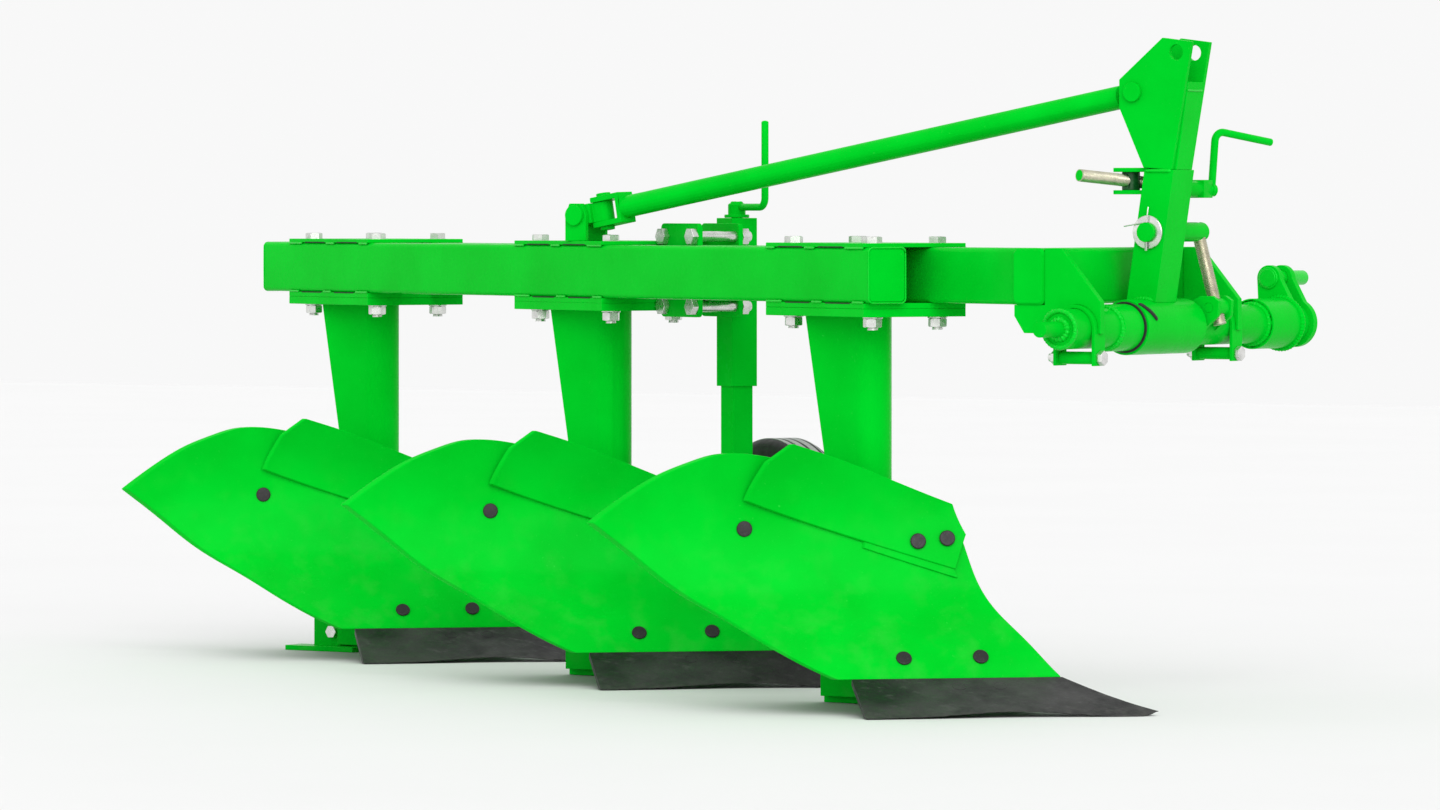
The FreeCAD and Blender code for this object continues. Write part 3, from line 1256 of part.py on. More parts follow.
holder_start = frame_wide + size.clamp_thick
post_across = holder_start + size.holder_wide / 2
holder = tube_box(clamp_mid - size.holder_wide / 2, holder_start, size.holder_low,
                  size.holder_wide, size.holder_wide, size.holder_top - size.holder_low,
                  size.holder_wall, "Z")
holder_lid = cut(box(clamp_mid - size.holder_wide / 2, holder_start, size.holder_top,
                     size.holder_wide, size.holder_wide, size.holder_cap),
                 rod("Z", size.wheel_screw_radius + size.run_clear, clamp_mid, post_across,
                     size.holder_low, size.holder_top))
beam_piece(fuse(holder, holder_lid), "wheel_tube")

inner_half = size.inner_wide / 2
inner_tube = tube_box(clamp_mid - inner_half, post_across - inner_half, size.inner_low,
                      size.inner_wide, size.inner_wide, size.inner_top - size.inner_low,
                      size.inner_wall, "Z")
inner_nut = cut(box(clamp_mid - inner_half, post_across - inner_half,
                    size.inner_top - size.inner_nut_high, size.inner_wide, size.inner_wide,
                    size.inner_nut_high),
                rod("Z", size.wheel_screw_radius + size.thread_clear, clamp_mid, post_across,
                    size.inner_low, size.inner_top))
axle_cross = rod("Y", size.wheel_axle_radius, clamp_mid, holder_start, size.wheel_high,
                 size.holder_wide * 2)
beam_piece(cut(fuse(inner_tube, inner_nut), axle_cross), "wheel_post")

wheel_start = post_across + inner_half + size.wheel_gap
axle_from = post_across - inner_half
axle_bar = rod("Y", size.wheel_axle_radius, clamp_mid, axle_from, size.wheel_high,
               size.inner_wide + size.wheel_gap + size.wheel_wide + size.wheel_axle_end)
hub_start = wheel_start + (size.wheel_wide - size.hub_wide) / 2
inner_stop = rod("Y", size.wheel_stop_radius, clamp_mid, post_across + inner_half,
                 size.wheel_high, hub_start - post_across - inner_half - size.lug_clear)
outer_stop = rod("Y", size.wheel_stop_radius, clamp_mid,
                 hub_start + size.hub_wide + size.lug_clear, size.wheel_high,
                 size.wheel_axle_end)
beam_piece(fuse(axle_bar, inner_stop, outer_stop), "wheel_axle")

tyre_wide = size.wheel_wide - size.tyre_round * 2
tyre_parts = [
    rod("Y", size.wheel_radius - size.tyre_round, clamp_mid, wheel_start, size.wheel_high,
        size.wheel_wide),
    rod("Y", size.wheel_radius, clamp_mid, wheel_start + size.tyre_round, size.wheel_high,
        tyre_wide)]
for across in (size.tyre_round, size.tyre_round + tyre_wide):
    shoulder = doc.addObject("Part::Torus", "shoulder")
    bind(shoulder, "Radius1", size.wheel_radius - size.tyre_round)
    bind(shoulder, "Radius2", size.tyre_round)
    tyre_parts.append(lay(shoulder, "Y", clamp_mid, wheel_start + across, size.wheel_high))
dish_deep = (size.wheel_wide - size.web_thick) / 2
dishes = [rod("Y", size.rim_radius, clamp_mid, wheel_start - size.overrun, size.wheel_high,
              dish_deep + size.overrun),
          rod("Y", size.rim_radius, clamp_mid, wheel_start + size.wheel_wide - dish_deep,
              size.wheel_high, dish_deep + size.overrun)]
hub = rod("Y", size.hub_radius, clamp_mid, hub_start, size.wheel_high, size.hub_wide)
hub_bore = rod("Y", size.wheel_axle_radius + size.run_clear, clamp_mid, holder_start,
               size.wheel_high, size.wheel_wide * 3)
beam_piece(cut(fuse(cut(fuse(*tyre_parts), *dishes), hub), hub_bore), "depth_wheel")

hub_low = size.holder_top + size.holder_cap + size.lug_clear
wheel_crank = fuse(
    rod("Z", size.wheel_screw_radius, clamp_mid, post_across, size.wheel_screw_low,
        hub_low - size.wheel_screw_low + size.crank_hub_high),
    rod("Z", size.hub_crank_radius, clamp_mid, post_across, hub_low, size.crank_hub_high),
    rod("X", rod_radius, clamp_mid, post_across, size.wheel_arm_z, size.wheel_arm),
    ball(rod_radius, clamp_mid + size.wheel_arm, post_across, size.wheel_arm_z),
    rod("Z", rod_radius, clamp_mid + size.wheel_arm, post_across, size.wheel_arm_z,
        size.wheel_grip_top - size.wheel_arm_z))
beam_piece(wheel_crank, "wheel_crank")

doc.recompute()
faults = [thing.Name + " " + str(thing.State) for thing in doc.Objects
          if "Invalid" in thing.State or "Error" in thing.State]
if faults:
    raise RuntimeError("not built: " + ", ".join(faults))
whole = FreeCAD.BoundBox()
for thing in pieces:
    whole.add(thing.Shape.optimalBoundingBox(False))
size.table.set("B%d" % (size.row - 1), str(-(whole.XMin + whole.XMax) / 2))
size.table.set("B%d" % size.row, str(-(whole.YMin + whole.YMax) / 2))
doc.recompute()

os.makedirs("parts", exist_ok=True)
for thing in pieces:
    shape = thing.Shape
    if shape.isNull() or not shape.isValid() or not shape.Solids:
        raise RuntimeError("not a valid solid: " + thing.Label)
    shape.exportStep("parts/%s.step" % thing.Label)
print("pieces", len(pieces))
print("size", round(whole.XLength, 1), round(whole.YLength, 1), round(whole.ZLength, 1))
print("shift", round(-(whole.XMin + whole.XMax) / 2, 3), round(-(whole.YMin + whole.YMax) / 2, 3))
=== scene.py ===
import itertools
import json
import math

import bmesh
import bpy
import numpy as np
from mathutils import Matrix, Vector

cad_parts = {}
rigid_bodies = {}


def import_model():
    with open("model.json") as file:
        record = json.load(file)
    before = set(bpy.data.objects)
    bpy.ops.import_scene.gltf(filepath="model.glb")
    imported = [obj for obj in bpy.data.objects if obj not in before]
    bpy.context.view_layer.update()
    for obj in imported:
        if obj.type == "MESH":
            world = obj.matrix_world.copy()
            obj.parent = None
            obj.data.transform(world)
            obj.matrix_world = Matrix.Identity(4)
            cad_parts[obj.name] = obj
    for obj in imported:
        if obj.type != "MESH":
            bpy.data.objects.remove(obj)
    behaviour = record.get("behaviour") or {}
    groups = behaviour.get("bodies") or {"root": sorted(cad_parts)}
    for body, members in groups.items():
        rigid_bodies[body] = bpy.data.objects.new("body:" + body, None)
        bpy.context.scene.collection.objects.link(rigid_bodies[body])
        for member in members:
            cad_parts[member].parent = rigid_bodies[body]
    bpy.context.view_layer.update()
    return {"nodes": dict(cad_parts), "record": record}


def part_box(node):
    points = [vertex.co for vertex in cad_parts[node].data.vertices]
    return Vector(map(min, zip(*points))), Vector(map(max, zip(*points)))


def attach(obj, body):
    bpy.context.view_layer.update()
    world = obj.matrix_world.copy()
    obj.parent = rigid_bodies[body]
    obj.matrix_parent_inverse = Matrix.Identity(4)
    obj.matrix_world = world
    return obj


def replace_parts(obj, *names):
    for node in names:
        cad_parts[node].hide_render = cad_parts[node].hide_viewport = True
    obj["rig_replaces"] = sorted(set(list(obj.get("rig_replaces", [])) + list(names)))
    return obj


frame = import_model()

bl_info = {
    "name": "Mounted plough",
    "version": (1, 0, 0),
    "blender": (4, 5, 0),
    "location": "View3D > Sidebar > Plough",
    "description": "Builds a mounted mouldboard plough and its studio",
    "category": "Add Mesh",
}


def length(label, default, note):
    """A length the user can change, in metres."""
    return bpy.props.FloatProperty(name=label, description=note, default=default,
                                   unit="LENGTH", precision=4)


def number(label, default, note):
    """A plain number the user can change."""
    return bpy.props.FloatProperty(name=label, description=note, default=default, precision=4)


def colour(label, default, note):
    """A colour the user can change."""
    return bpy.props.FloatVectorProperty(name=label, description=note, default=default,
                                         size=3, subtype="COLOR", min=0, max=1)


class PloughSizes(bpy.types.PropertyGroup):
    step_back: length("Step back", 0.66, "How far each body stands behind the one before")
    step_side: length("Step aside", 0.3, "How far each body stands to the left of the last")
    beam_back: length("Beam start back", 0.338, "Main beam's front corner behind the axle")
    beam_side: length("Beam start aside", 0.215, "Main beam's front corner right of the middle")
    beam_wide: length("Beam width", 0.064, "Width of each oblique beam")
    beam_high: length("Beam height", 0.08, "Height of each beam")
    beam_low: length("Beam underside", 0.585, "Height of the beams' underside")
    beam_gap: length("Beam gap", 0.048, "Clear space between the oblique beams")
    beam_long: length("Beam length", 1.81, "Length of the main beam")
    beam_round: length("Beam corner", 0.007, "Corner radius of the box tubes")
    cap_ease: length("Cap edge", 0.003, "Rounding of a beam's closed end")
    cross_front: length("Cross beam front", 0.053, "Front of the cross beam behind the axle")
    cross_deep: length("Cross beam depth", 0.05, "Front to back size of the cross beam")
    cross_long: length("Cross beam length", 0.412, "Sideways size of the cross beam")
    plate_inset: length("Plate inset", 0.012, "First plate behind the beam's front end")
    plate_long: length("Plate length", 0.262, "Length of a plate along the beams")
    plate_thick: length("Upper plate", 0.006, "Thickness of an upper plate")
    under_thick: length("Lower plate", 0.008, "Thickness of a lower plate")
    flange_thick: length("Flange", 0.012, "Thickness of a leg's flange")
    bolt_reach: length("Bolt reach", 0.105, "Leg bolts before and behind the plate's middle")
    bolt_flats: length("Bolt head", 0.024, "Leg bolt's width over the flats")
    bolt_high: length("Bolt head height", 0.0095, "Height of a leg bolt's head")
    nut_high: length("Nut height", 0.0128, "Height of a leg bolt's nut")
    bolt_washer: length("Bolt washer", 0.0024, "Thickness of a leg bolt's washer")
    bolt_tail: length("Bolt tail", 0.0062, "Leg bolt's thread from the nut's rim on")
    bolt_radius: length("Bolt radius", 0.008, "Radius of a leg bolt's shank")
    axle_high: length("Axle height", 0.552, "Height of the hitch axle")
    body_ahead: length("Share point", 0.472, "Share point before the leg's middle")
    body_aside: length("Landside", 0.029, "Landside face to the left of the leg's middle")
    board_high: length("Board height", 0.392, "Height of the topmost level line")
    board_foot: length("Board foot", 0.149, "Shin behind the share point at its foot")
    board_back: length("Board back", 0.345, "Shin behind the share point at the top")
    board_reach: length("Board reach", 0.355, "Sideways reach of the wing")
    board_thick: length("Board thickness", 0.009, "Thickness measured level")
    trash_thick: length("Trash board", 0.006, "Thickness of the board over the board")
    seat_clear: length("Seat gap", 0.0002, "Gap between a board and the one over it")
    trash_lean: length("Trash board lean", 0.03, "How far its top leans forward")
    share_long: length("Share length", 0.42, "Cutting edge of a share")
    share_wide: length("Share width", 0.12, "Width of a share up its slope")
    share_thick: length("Share thickness", 0.01, "Thickness of a share")
    share_bow: length("Share bow", 0.02, "How far the cutting edge is hollowed")
    share_nose: length("Share nose", 0.021, "How far the share's point runs out")
    share_angle: number("Share angle", 44.0, "Cutting edge against the direction of travel")
    share_lift: number("Share lift", 25.0, "Slope of the share's face")
    thread_step: length("Thread pitch", 0.0025, "Pitch of the adjusting screws")
    thread_deep: length("Thread depth", 0.0011, "Depth of their threads")
    level_x: length("Level pin", 0.008, "Levelling pin ahead of the axle")
    level_z: length("Level pin height", 0.687, "Height of the levelling pin")
    level_at: length("Level screw aside", 0.126, "Levelling screw left of the middle")
    level_run: length("Level screw end", 0.025, "Levelling screw past its nut")
    level_screw: length("Level screw", 0.0095, "Radius of the levelling screw")
    level_pin: length("Level pin radius", 0.014, "Radius of the levelling pin")
    ear_x: length("Level nut ahead", 0.038, "Levelling nut ahead of the axle")
    ear_high: length("Level nut height", 0.578, "Height of the levelling nut")
    upper_x: length("Upper eye", 0.009, "Upper screw's eye ahead of the axle")
    upper_z: length("Upper eye height", 0.749, "Height of the upper screw's eye")
    upper_aside: length("Upper eye aside", 0.006, "Upper eye left of the levelling screw")
    upper_screw: length("Upper screw", 0.009, "Radius of the upper screw")
    swivel_x: length("Swivel nut", 0.038, "Swivel nut behind the axle")
    swivel_z: length("Swivel nut height", 0.76, "Height of the swivel nut")
    mast_side: length("Mast aside", 0.014, "Mast's middle left of the hitch's")
    screw_beyond: length("Screw tail", 0.094, "Upper screw past the swivel nut")
    upper_off: length("Crank start", 0.0205, "Crank arm ahead of the eye")
    upper_arm: length("Crank arm", 0.086, "Length of the upper crank's arm")
    upper_grip: length("Crank grip", 0.103, "Length of the upper crank's grip")
    crank_rod: length("Crank rod", 0.0055, "Radius of a crank's rod")
    crank_bend: length("Crank bend", 0.014, "Bend radius of a crank's rod")
    washer_thick: length("Washer", 0.004, "Thickness of the levelling pin's washer")
    split_wire: length("Split pin", 0.002, "Thickness of half the split pin")
    split_spread: length("Split pin spread", 0.012, "How far its legs are bent apart")
    wheel_wide: length("Tyre width", 0.08, "Width of the depth wheel")
    tyre_round: length("Tyre shoulder", 0.022, "Shoulder radius of the depth wheel")
    axle_radius: length("Axle", 0.0285, "Radius of the hitch axle")
    collar_at: length("Collar", 0.124, "Axle collar right of the middle")
    collar_long: length("Collar length", 0.053, "Length of the axle collar")
    disc_at: length("Disc", 0.298, "Axle disc left of the middle")
    crank_inner: length("Crank plate", 0.384, "Inner crank plate left of the middle")
    crank_outer: length("Crank face", 0.433, "Outer crank face left of the middle")
    hitch_pin: length("Hitch pin", 0.011, "Radius of a lower hitch pin")
    hitch_held: length("Hitch pin root", 0.012, "Radius of the left pin in its plates")
    hitch_long: length("Hitch pin length", 0.055, "Free length of a lower hitch pin")
    hitch_back: length("Left pin back", 0.02, "Left hitch pin behind the axle")
    hitch_rise: length("Left pin rise", 0.066, "Left hitch pin above the axle")
    strap_at: length("Strap", 0.196, "Axle straps left and right of the middle")
    strap_z: length("Strap bolt", 0.511, "Height of the strap bolts")
    end_radius: length("Axle end", 0.037, "Radius of the axle's thick left end")
    mast_wide: length("Mast width", 0.06, "Sideways width of the mast")
    mast_fork: length("Mast fork", 0.044, "Clear space between the two head plates")
    mast_foot: length("Mast foot", 0.56, "Height of the mast's foot")
    mast_front: length("Mast front", 0.015, "Mast's front ahead of the axle at its foot")
    mast_deep: length("Mast depth", 0.048, "Front to back size of the mast")
    mast_lean: number("Mast lean", 0.1574, "How far the mast leans forward for its rise")
    mast_top: length("Mast top", 0.776, "Height at which the head plates begin")
    head_fill: length("Head front", 0.901, "Top of the closed front between the plates")
    fill_thick: length("Head front wall", 0.017, "Thickness of that closed front")
    sleeve_radius: length("Sleeve", 0.0395, "Radius of the mast's sleeve")
    leg_radius: length("Leg nose", 0.035, "Radius of a leg's round front")
    leg_rear: length("Leg rear", 0.077, "Rear of a leg's top behind its middle")
    clamp_along: length("Wheel clamp", 0.681, "Depth wheel's post along the beams")
    post_across: length("Wheel post", 0.2065, "Depth wheel's post across the beams")
    hub_low: length("Crank hub", 0.7063, "Underside of the depth crank's hub")
    hub_high: length("Crank hub height", 0.022, "Height of the depth crank's hub")
    hub_radius: length("Crank hub radius", 0.014, "Radius of the depth crank's hub")
    screw_low: length("Depth screw foot", 0.505, "Lower end of the depth screw")
    arm_long: length("Depth crank arm", 0.08, "Length of the depth crank's arm")
    arm_high: length("Depth crank height", 0.7225, "Height of the depth crank's arm")
    grip_top: length("Depth crank grip", 0.851, "Top of the depth crank's grip")


class PloughColours(bpy.types.PropertyGroup):
    enamel: colour("Enamel", (0.0, 0.51, 0.018), "Gloss paint of the frame and boards")
    enamel_deep: colour("Enamel shade", (0.0, 0.45, 0.014), "Paint where it lies thinner")
    enamel_glint: colour("Enamel glint", (0.12, 1.0, 0.25), "Colour of the paint's reflections")
    nut_dark: colour("Dark nut", (0.004, 0.07, 0.014), "Nut between the swivel ears")
    share_black: colour("Share black", (0.011, 0.011, 0.012), "Paint of the shares")
    share_worn: colour("Share wear", (0.06, 0.059, 0.058), "Scuffed places of the shares")
    zinc: colour("Zinc", (0.74, 0.74, 0.72), "Plated bolts and nuts")
    screw_zinc: colour("Yellow zinc", (0.62, 0.58, 0.46), "Plated adjusting screws")
    bolt_black: colour("Bolt black", (0.014, 0.013, 0.014), "Round bolt heads")
    rubber: colour("Rubber", (0.015, 0.015, 0.016), "Seal and tyre sides")
    # The running face's pale grey is a painted highlight on the dark tyre
    tread: colour("Tread", (0.4, 0.4, 0.4), "Running face of the wheel")
    floor: colour("Floor", (0.752, 0.752, 0.752), "Studio floor")


# The twisted board: shares of its height, with the shin's place, the heading and the lean
LEVEL_SHARES = np.array((0.102, 0.13, 0.204, 0.362, 0.577, 0.75, 0.867, 1))
SHIN_SHARES = np.array((0, 0.041, 0.148, 0.576, 0.863, 0.975, 1, 1))
LEVEL_ANGLES = np.radians((44.5, 44, 42.5, 41, 41, 43, 45, 47.5))
LEAN_SHARES = np.array((0, 0, 0, 0, 0, 0.12, 0.45, 1))

# Outlines on the board, as shares of its reach and of its height. The strip's thickness is a
# share of how far the upper board's front stands before the board.
BOARD_EDGE_LOW = np.array((
    (0.64, 0.128), (0.685, 0.175), (0.718, 0.235), (0.742, 0.33), (0.794, 0.423),
    (0.873, 0.546), (0.94, 0.628), (1, 0.689)))
BOARD_EDGE_TOP = np.array((
    (1, 0.689), (0.957, 0.74), (0.9, 0.806), (0.836, 0.867), (0.762, 0.911), (0.711, 0.934),
    (0.627, 0.941), (0.534, 0.925), (0.38, 0.875), (0.27, 0.82), (0.155, 0.77), (0, 0.7)))
BOARD_SHIN = np.array(((0, 0.128), (0.014, 0.165), (0.022, 0.204), (0.018, 0.27), (0.006, 0.362),
                       (0, 0.45), (0, 0.7)))
TRASH_LOW = np.array(((0, 0.638), (0.058, 0.513), (0.607, 0.767)))
TRASH_TOP = np.array(((0.024, 0.751), (0.18, 0.827), (0.41, 0.926), (0.562, 0.978)))
TRASH_END = np.array(((0.607, 0.767), (0.603, 0.911), (0.562, 0.978)))
STRIP_LOW = np.array(((0.0555, 0.48), (0.28, 0.591)))
STRIP_TOP = np.array(((0.056, 0.535), (0.268, 0.63)))
STRIP_THICK = 0.55

# The cutting edge's hollow along a share, and the places of its bolt marks
SHARE_EDGE = np.array(((0, 0.8), (0.04, 0.3), (0.09, 0), (0.2, 0.25), (0.45, 1), (0.72, 0.5),
                       (1, 0.2)))
SHARE_MARKS = ((0.36, 0.8), (0.54, 0.8))

# Runs along a plate's edge: begin, end, and whether the run is welded; a run that isn't welded
# gets a dark strip of painted shadow
SEAM_RUNS = ((0.0, 0.15, True), (0.17, 0.42, False), (0.45, 0.56, True),
             (0.58, 0.83, False), (0.86, 1.0, True))

# Directions, and how many bodies the plough has
AHEAD = np.array((1.0, 0.0, 0.0))
LEFT = np.array((0.0, 1.0, 0.0))
UP = np.array((0.0, 0.0, 1.0))
BODIES = 3

# The sleeve's right end to the hitch's middle, and pitch and depth of a leg bolt's thread
SLEEVE_END = 0.068
BOLT_THREAD = (0.002, 0.0009)

# A bolt head's flat crown as a share of its width, and the fall of the cone round it
CROWN = 0.97
CONE = 0.55

# Weld beads: one ripple, one step of the grid, and the radii at the places they join
RIPPLE = 0.0046
BEAD_STEP = 0.0016
CAP_BEAD = 0.0013
SEAM_BEAD = 0.0017
HANDLE_BEAD = 0.0022
HUB_BEAD = 0.0028
HEAD_BEAD = 0.0016
CHEEK_BEAD = 0.0026
SLEEVE_BEAD = 0.0034
LEG_BEAD = 0.0032
DISC_BEAD = 0.0042
END_BEAD = 0.0046

# Degrees past which edges are kept sharp or eased, and below which faces are taken as one
SHARP_ANGLE = 35
EASE_ANGLE = 38
FLAT_ANGLE = 0.6

# Rounding of the edges of boards, packing strips, shares and the nodes that keep their form
SHEET_EASE = 0.0014
STRIP_EASE = 0.0008
SHARE_EASE = 0.0006
NODE_EASE = 0.0009

# Colours and shares of the finishes, and of the studio
GLOSS_REACH = (0.3, 0.7)
DUST = (0.3, 0.42, 0.25)
SPECKS = (0.05, 0.7, 0.08)
EDGE_WEAR = (0.05, 0.048, 0.046)
PLATE_SHADE = 0.78
# The floor's painted contact shadow: how dark it gets, and how far from the plough it reaches
CONTACT_SHADE = 0.45
PAINTED_SHADOW_REACH = 0.35
WORLD_LIGHT = 0.94

# The camera's place, the way it looks, its upward shift and its focal length
CAMERA_SPOT = (6.1328, -9.0552, 0.726)
CAMERA_WAY = (-0.552, 0.834, 0.0)
CAMERA_SHIFT = -0.139
CAMERA_LENS = 180

# Name, place, width in degrees and strength of each light, and the point they aim at
LIGHTS = (
    ("key", (4.6, -4.8, 4.0), 50, 1.9),
    ("fill", (-1.5, -6.0, 2.5), 80, 0.35),
)
LIGHT_AIM = Vector((0.0, 0.0, 0.4))

# Finish and slot of the nodes that aren't painted like the frame
ZINC = ("zinc", "zinc")
FINISH_OF_NODE = {
    "plough_bolts": ("bolt", "bolt_black"),
    "strap_bolts": ZINC,
    "wheel_clamp_bolts": ZINC,
    "heel_bolt": ZINC,
    "screw_collar": ZINC,
    "depth_wheel": ("rubber", "wheel_black"),
    "swivel_nut": ("nut", "green_paint"),
    "sleeve_seal": ("rubber", "seal_black"),
}

record_bodies = frame["record"]["behaviour"]["bodies"]
body_of_node = {node: body for body, nodes in record_bodies.items() for node in nodes}
finishes = {}


def sizes():
    """The sizes as the user has them now."""
    return bpy.context.scene.plough_sizes


def colours():
    """The colours as the user has them now."""
    return bpy.context.scene.plough_colours


def axle_middle():
    """The point on the hitch axle from which everything is measured, at floor height."""
    low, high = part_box("mast_sleeve")
    return np.array(((low[0] + high[0]) / 2, low[1] + SLEEVE_END, 0.0))


def at(x, y, z):
    """A point measured from the floor under the middle of the hitch axle."""
    return axle_middle() + np.array((x, y, z))


def unit(vector):
    """A direction of length one."""
    return vector / np.linalg.norm(vector)


def beam_axes():
    """Forward along the beams, and across them to the left."""
    size = sizes()
    forward = unit(np.array((size.step_back, -size.step_side, 0.0)))
    return forward, np.array((-forward[1], forward[0], 0.0))


def on_beams(along, across, z):
    """A point given back along the beams and to the left across them."""
    size = sizes()
    forward, left = beam_axes()
    return at(-size.beam_back, -size.beam_side, 0.0) - forward * along + left * across + UP * z


def frame_wide():
    """Width over both oblique beams."""
    size = sizes()
    return size.beam_wide * 2 + size.beam_gap


def leg_along(index, share=0.5):
    """Distance back along the beams to a share of the plates over a leg."""
    size = sizes()
    pitch = math.hypot(size.step_back, size.step_side)
    return size.plate_inset + size.plate_long * share + pitch * index


def leg_middle(index):
    """Middle of a leg's plates on the floor."""
    return on_beams(leg_along(index), frame_wide() / 2, 0.0)


def body_origin(index):
    """Share point of a body on the floor."""
    size = sizes()
    return leg_middle(index) + np.array((size.body_ahead, size.body_aside, 0.0))


# Meshes from whole arrays
def grid_faces(rows, columns, wrap):
    """Four-sided faces of a grid of points, joined round when it wraps."""
    last = columns if wrap else columns - 1
    u, v = np.meshgrid(np.arange(rows - 1), np.arange(last), indexing="ij")
    after = (v + 1) % columns
    corners = (u * columns + v, u * columns + after, (u + 1) * columns + after,
               (u + 1) * columns + v)
    return np.stack(corners, axis=-1).reshape(-1, 4)


class Form:
    """Points and faces gathered for one piece."""

    def __init__(self):
        self.points = []
        self.faces = []
        self.count = 0

    def add(self, grid, wrap=False, ends=False):
        """Add a grid of points, with its first and last rows closed when asked."""
        rows, columns = grid.shape[:2]
        self.points.append(grid.reshape(-1, 3))
        self.faces += (grid_faces(rows, columns, wrap) + self.count).tolist()
        if ends:
            ring = np.arange(columns) + self.count
            self.faces.append(ring[::-1].tolist())
            self.faces.append((ring + (rows - 1) * columns).tolist())
        self.count += rows * columns
        return self

    def ring(self, grid):
        """Add a grid that joins round and needs no ends."""
        return self.add(grid, wrap=True)

    def bar(self, grid):
        """Add a grid that joins round, with both ends closed."""
        return self.add(grid, wrap=True, ends=True)

    def moved(self, offset):
        """The same form somewhere else."""
        other = Form()
        other.points = [points + offset for points in self.points]
        other.faces, other.count = self.faces, self.count
        return other

    def mesh(self, name, sharp):
        """The finished mesh: doubles merged, faces outwards, edges sharp past an angle."""
        mesh = bpy.data.meshes.new(name)
        mesh.from_pydata(np.concatenate(self.points).tolist(), [], self.faces)
        work = bmesh.new()
        work.from_mesh(mesh)
        bmesh.ops.remove_doubles(work, verts=work.verts, dist=1e-6)
        bmesh.ops.dissolve_degenerate(work, dist=1e-7, edges=work.edges)
        bmesh.ops.recalc_face_normals(work, faces=work.faces)
        return shaded(work, mesh, sharp)


def shaded(work, mesh, sharp):
    """A mesh filled from a worked one, smooth but for the edges sharp past an angle."""
    work.to_mesh(mesh)
    work.free()
    mesh.shade_smooth()
    mesh.set_sharp_from_angle(angle=math.radians(sharp))
    return mesh


def scene_object(name, data):
    """A new object in the scene."""
    thing = bpy.data.objects.new(name, data)
    bpy.context.scene.collection.objects.link(thing)
    return thing


def piece(name, form, finish="frame", body="frame", nodes=(),
          sharp=SHARP_ANGLE, ease=0.0):
    """Put a form in the scene with its finish, riding on its body."""
    mesh = form if isinstance(form, bpy.types.Mesh) else form.mesh(name, sharp)
    thing = scene_object(name, mesh)
    thing.data.materials.append(finishes[finish])
    if ease:
        rounding = thing.modifiers.new("eased edges", "BEVEL")
        rounding.width = ease
        rounding.segments = 2
        rounding.limit_method = "ANGLE"
        rounding.angle_limit = math.radians(EASE_ANGLE)
        rounding.use_clamp_overlap = False
        rounding.harden_normals = True
    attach(thing, body)
    if nodes:
        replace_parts(thing, *nodes)
    return thing


def eased_copy(node, finish, slot):
    """A CAD node's form, merged, with its long edges eased."""
    mesh = frame["nodes"][node].data.copy()
    mesh.name = node + "_form"
    work = bmesh.new()
    work.from_mesh(mesh)
    bmesh.ops.remove_doubles(work, verts=work.verts, dist=1e-6)
    bmesh.ops.dissolve_limit(work, angle_limit=math.radians(FLAT_ANGLE), verts=work.verts,
                             edges=work.edges)
    shaded(work, mesh, SHARP_ANGLE)
    mesh.materials.clear()
    return piece(node + "_dressed", mesh, finish, body_of_node[node], (node,),
                 ease=NODE_EASE)


def rounded_ring(wide, high, radius, steps=7):
    """Points round a rectangle whose corners are quarter circles, centred on the origin."""
    turns = np.linspace(0, math.pi / 2, steps) + np.arange(4)[:, None] * math.pi / 2
    signs = np.array(((1, 1), (-1, 1), (-1, -1), (1, -1)))
    middles = signs * np.array((wide / 2 - radius, high / 2 - radius))
    ring = middles[:, None, :] + radius * np.stack((np.cos(turns), np.sin(turns)), axis=-1)
    return ring.reshape(-1, 2)


def prism(start, end, ring, side, up, ease=0.0):
    """A ring carried straight from start to end, drawn in a little at its two ends."""
    way = unit(end - start)
    rows = [(start, 1), (end, 1)]
    if ease:
        scale = 1 - ease / np.abs(ring).max()
        rows = [(start, scale), (start + way * ease, 1), (end - way * ease, 1), (end, scale)]
    return np.array([spot + scale * (ring[:, :1] * side + ring[:, 1:] * up)
                     for spot, scale in rows])


def any_side(way):
    """A direction square to another one."""
    return unit(np.cross(way, UP if abs(way[2]) < 0.9 else AHEAD))


def spread_turns(steps):
    """Angles spread evenly round one turn."""
    return np.linspace(0, 2 * math.pi, steps, endpoint=False)


def circle(way, steps, turn=0.0):
    """Directions round an axis: the cosine of one side and the sine of the other."""
    side = any_side(way)
    turns = spread_turns(steps) + turn
    return np.cos(turns)[:, None] * side + np.sin(turns)[:, None] * np.cross(way, side)


def turned(start, way, rows, steps=40):
    """A profile of (distance, radius) rows turned round an axis."""
    rows = np.array(rows)
    return start + rows[:, :1, None] * way + rows[:, 1:, None] * circle(way, steps)


def bar_rows(long, radius, ease=0.001, bore=0.0):
    """Profile of a plain round bar, or of a washer with a bore, with eased ends."""
    rows = [(0, bore), (0, radius - ease), (ease, radius), (long - ease, radius),
            (long, radius - ease), (long, bore)]
    return rows + rows[:1] if bore else rows


def hexagon(start, way, flats, high, turn=0.0, both=False, steps=48):
    """A bolt head or nut: six flats, with its outer corners turned off by a cone."""
    turns = spread_turns(steps)
    inner = flats / 2
    sixth = math.pi / 3
    hexed = inner / np.cos((turns + sixth / 2) % sixth - sixth / 2)
    crown = np.full(steps, inner * CROWN)
    drop = (hexed - crown) * CONE
    none = np.zeros(steps)
    foot = [(none, crown), (drop, hexed)] if both else [(none, hexed)]
    rows = [(none, none), *foot, (high - drop, hexed), (none + high, crown), (none + high, none)]
    ring = circle(way, steps, turn)
    return np.array([start + far[:, None] * way + wide[:, None] * ring for far, wide in rows])


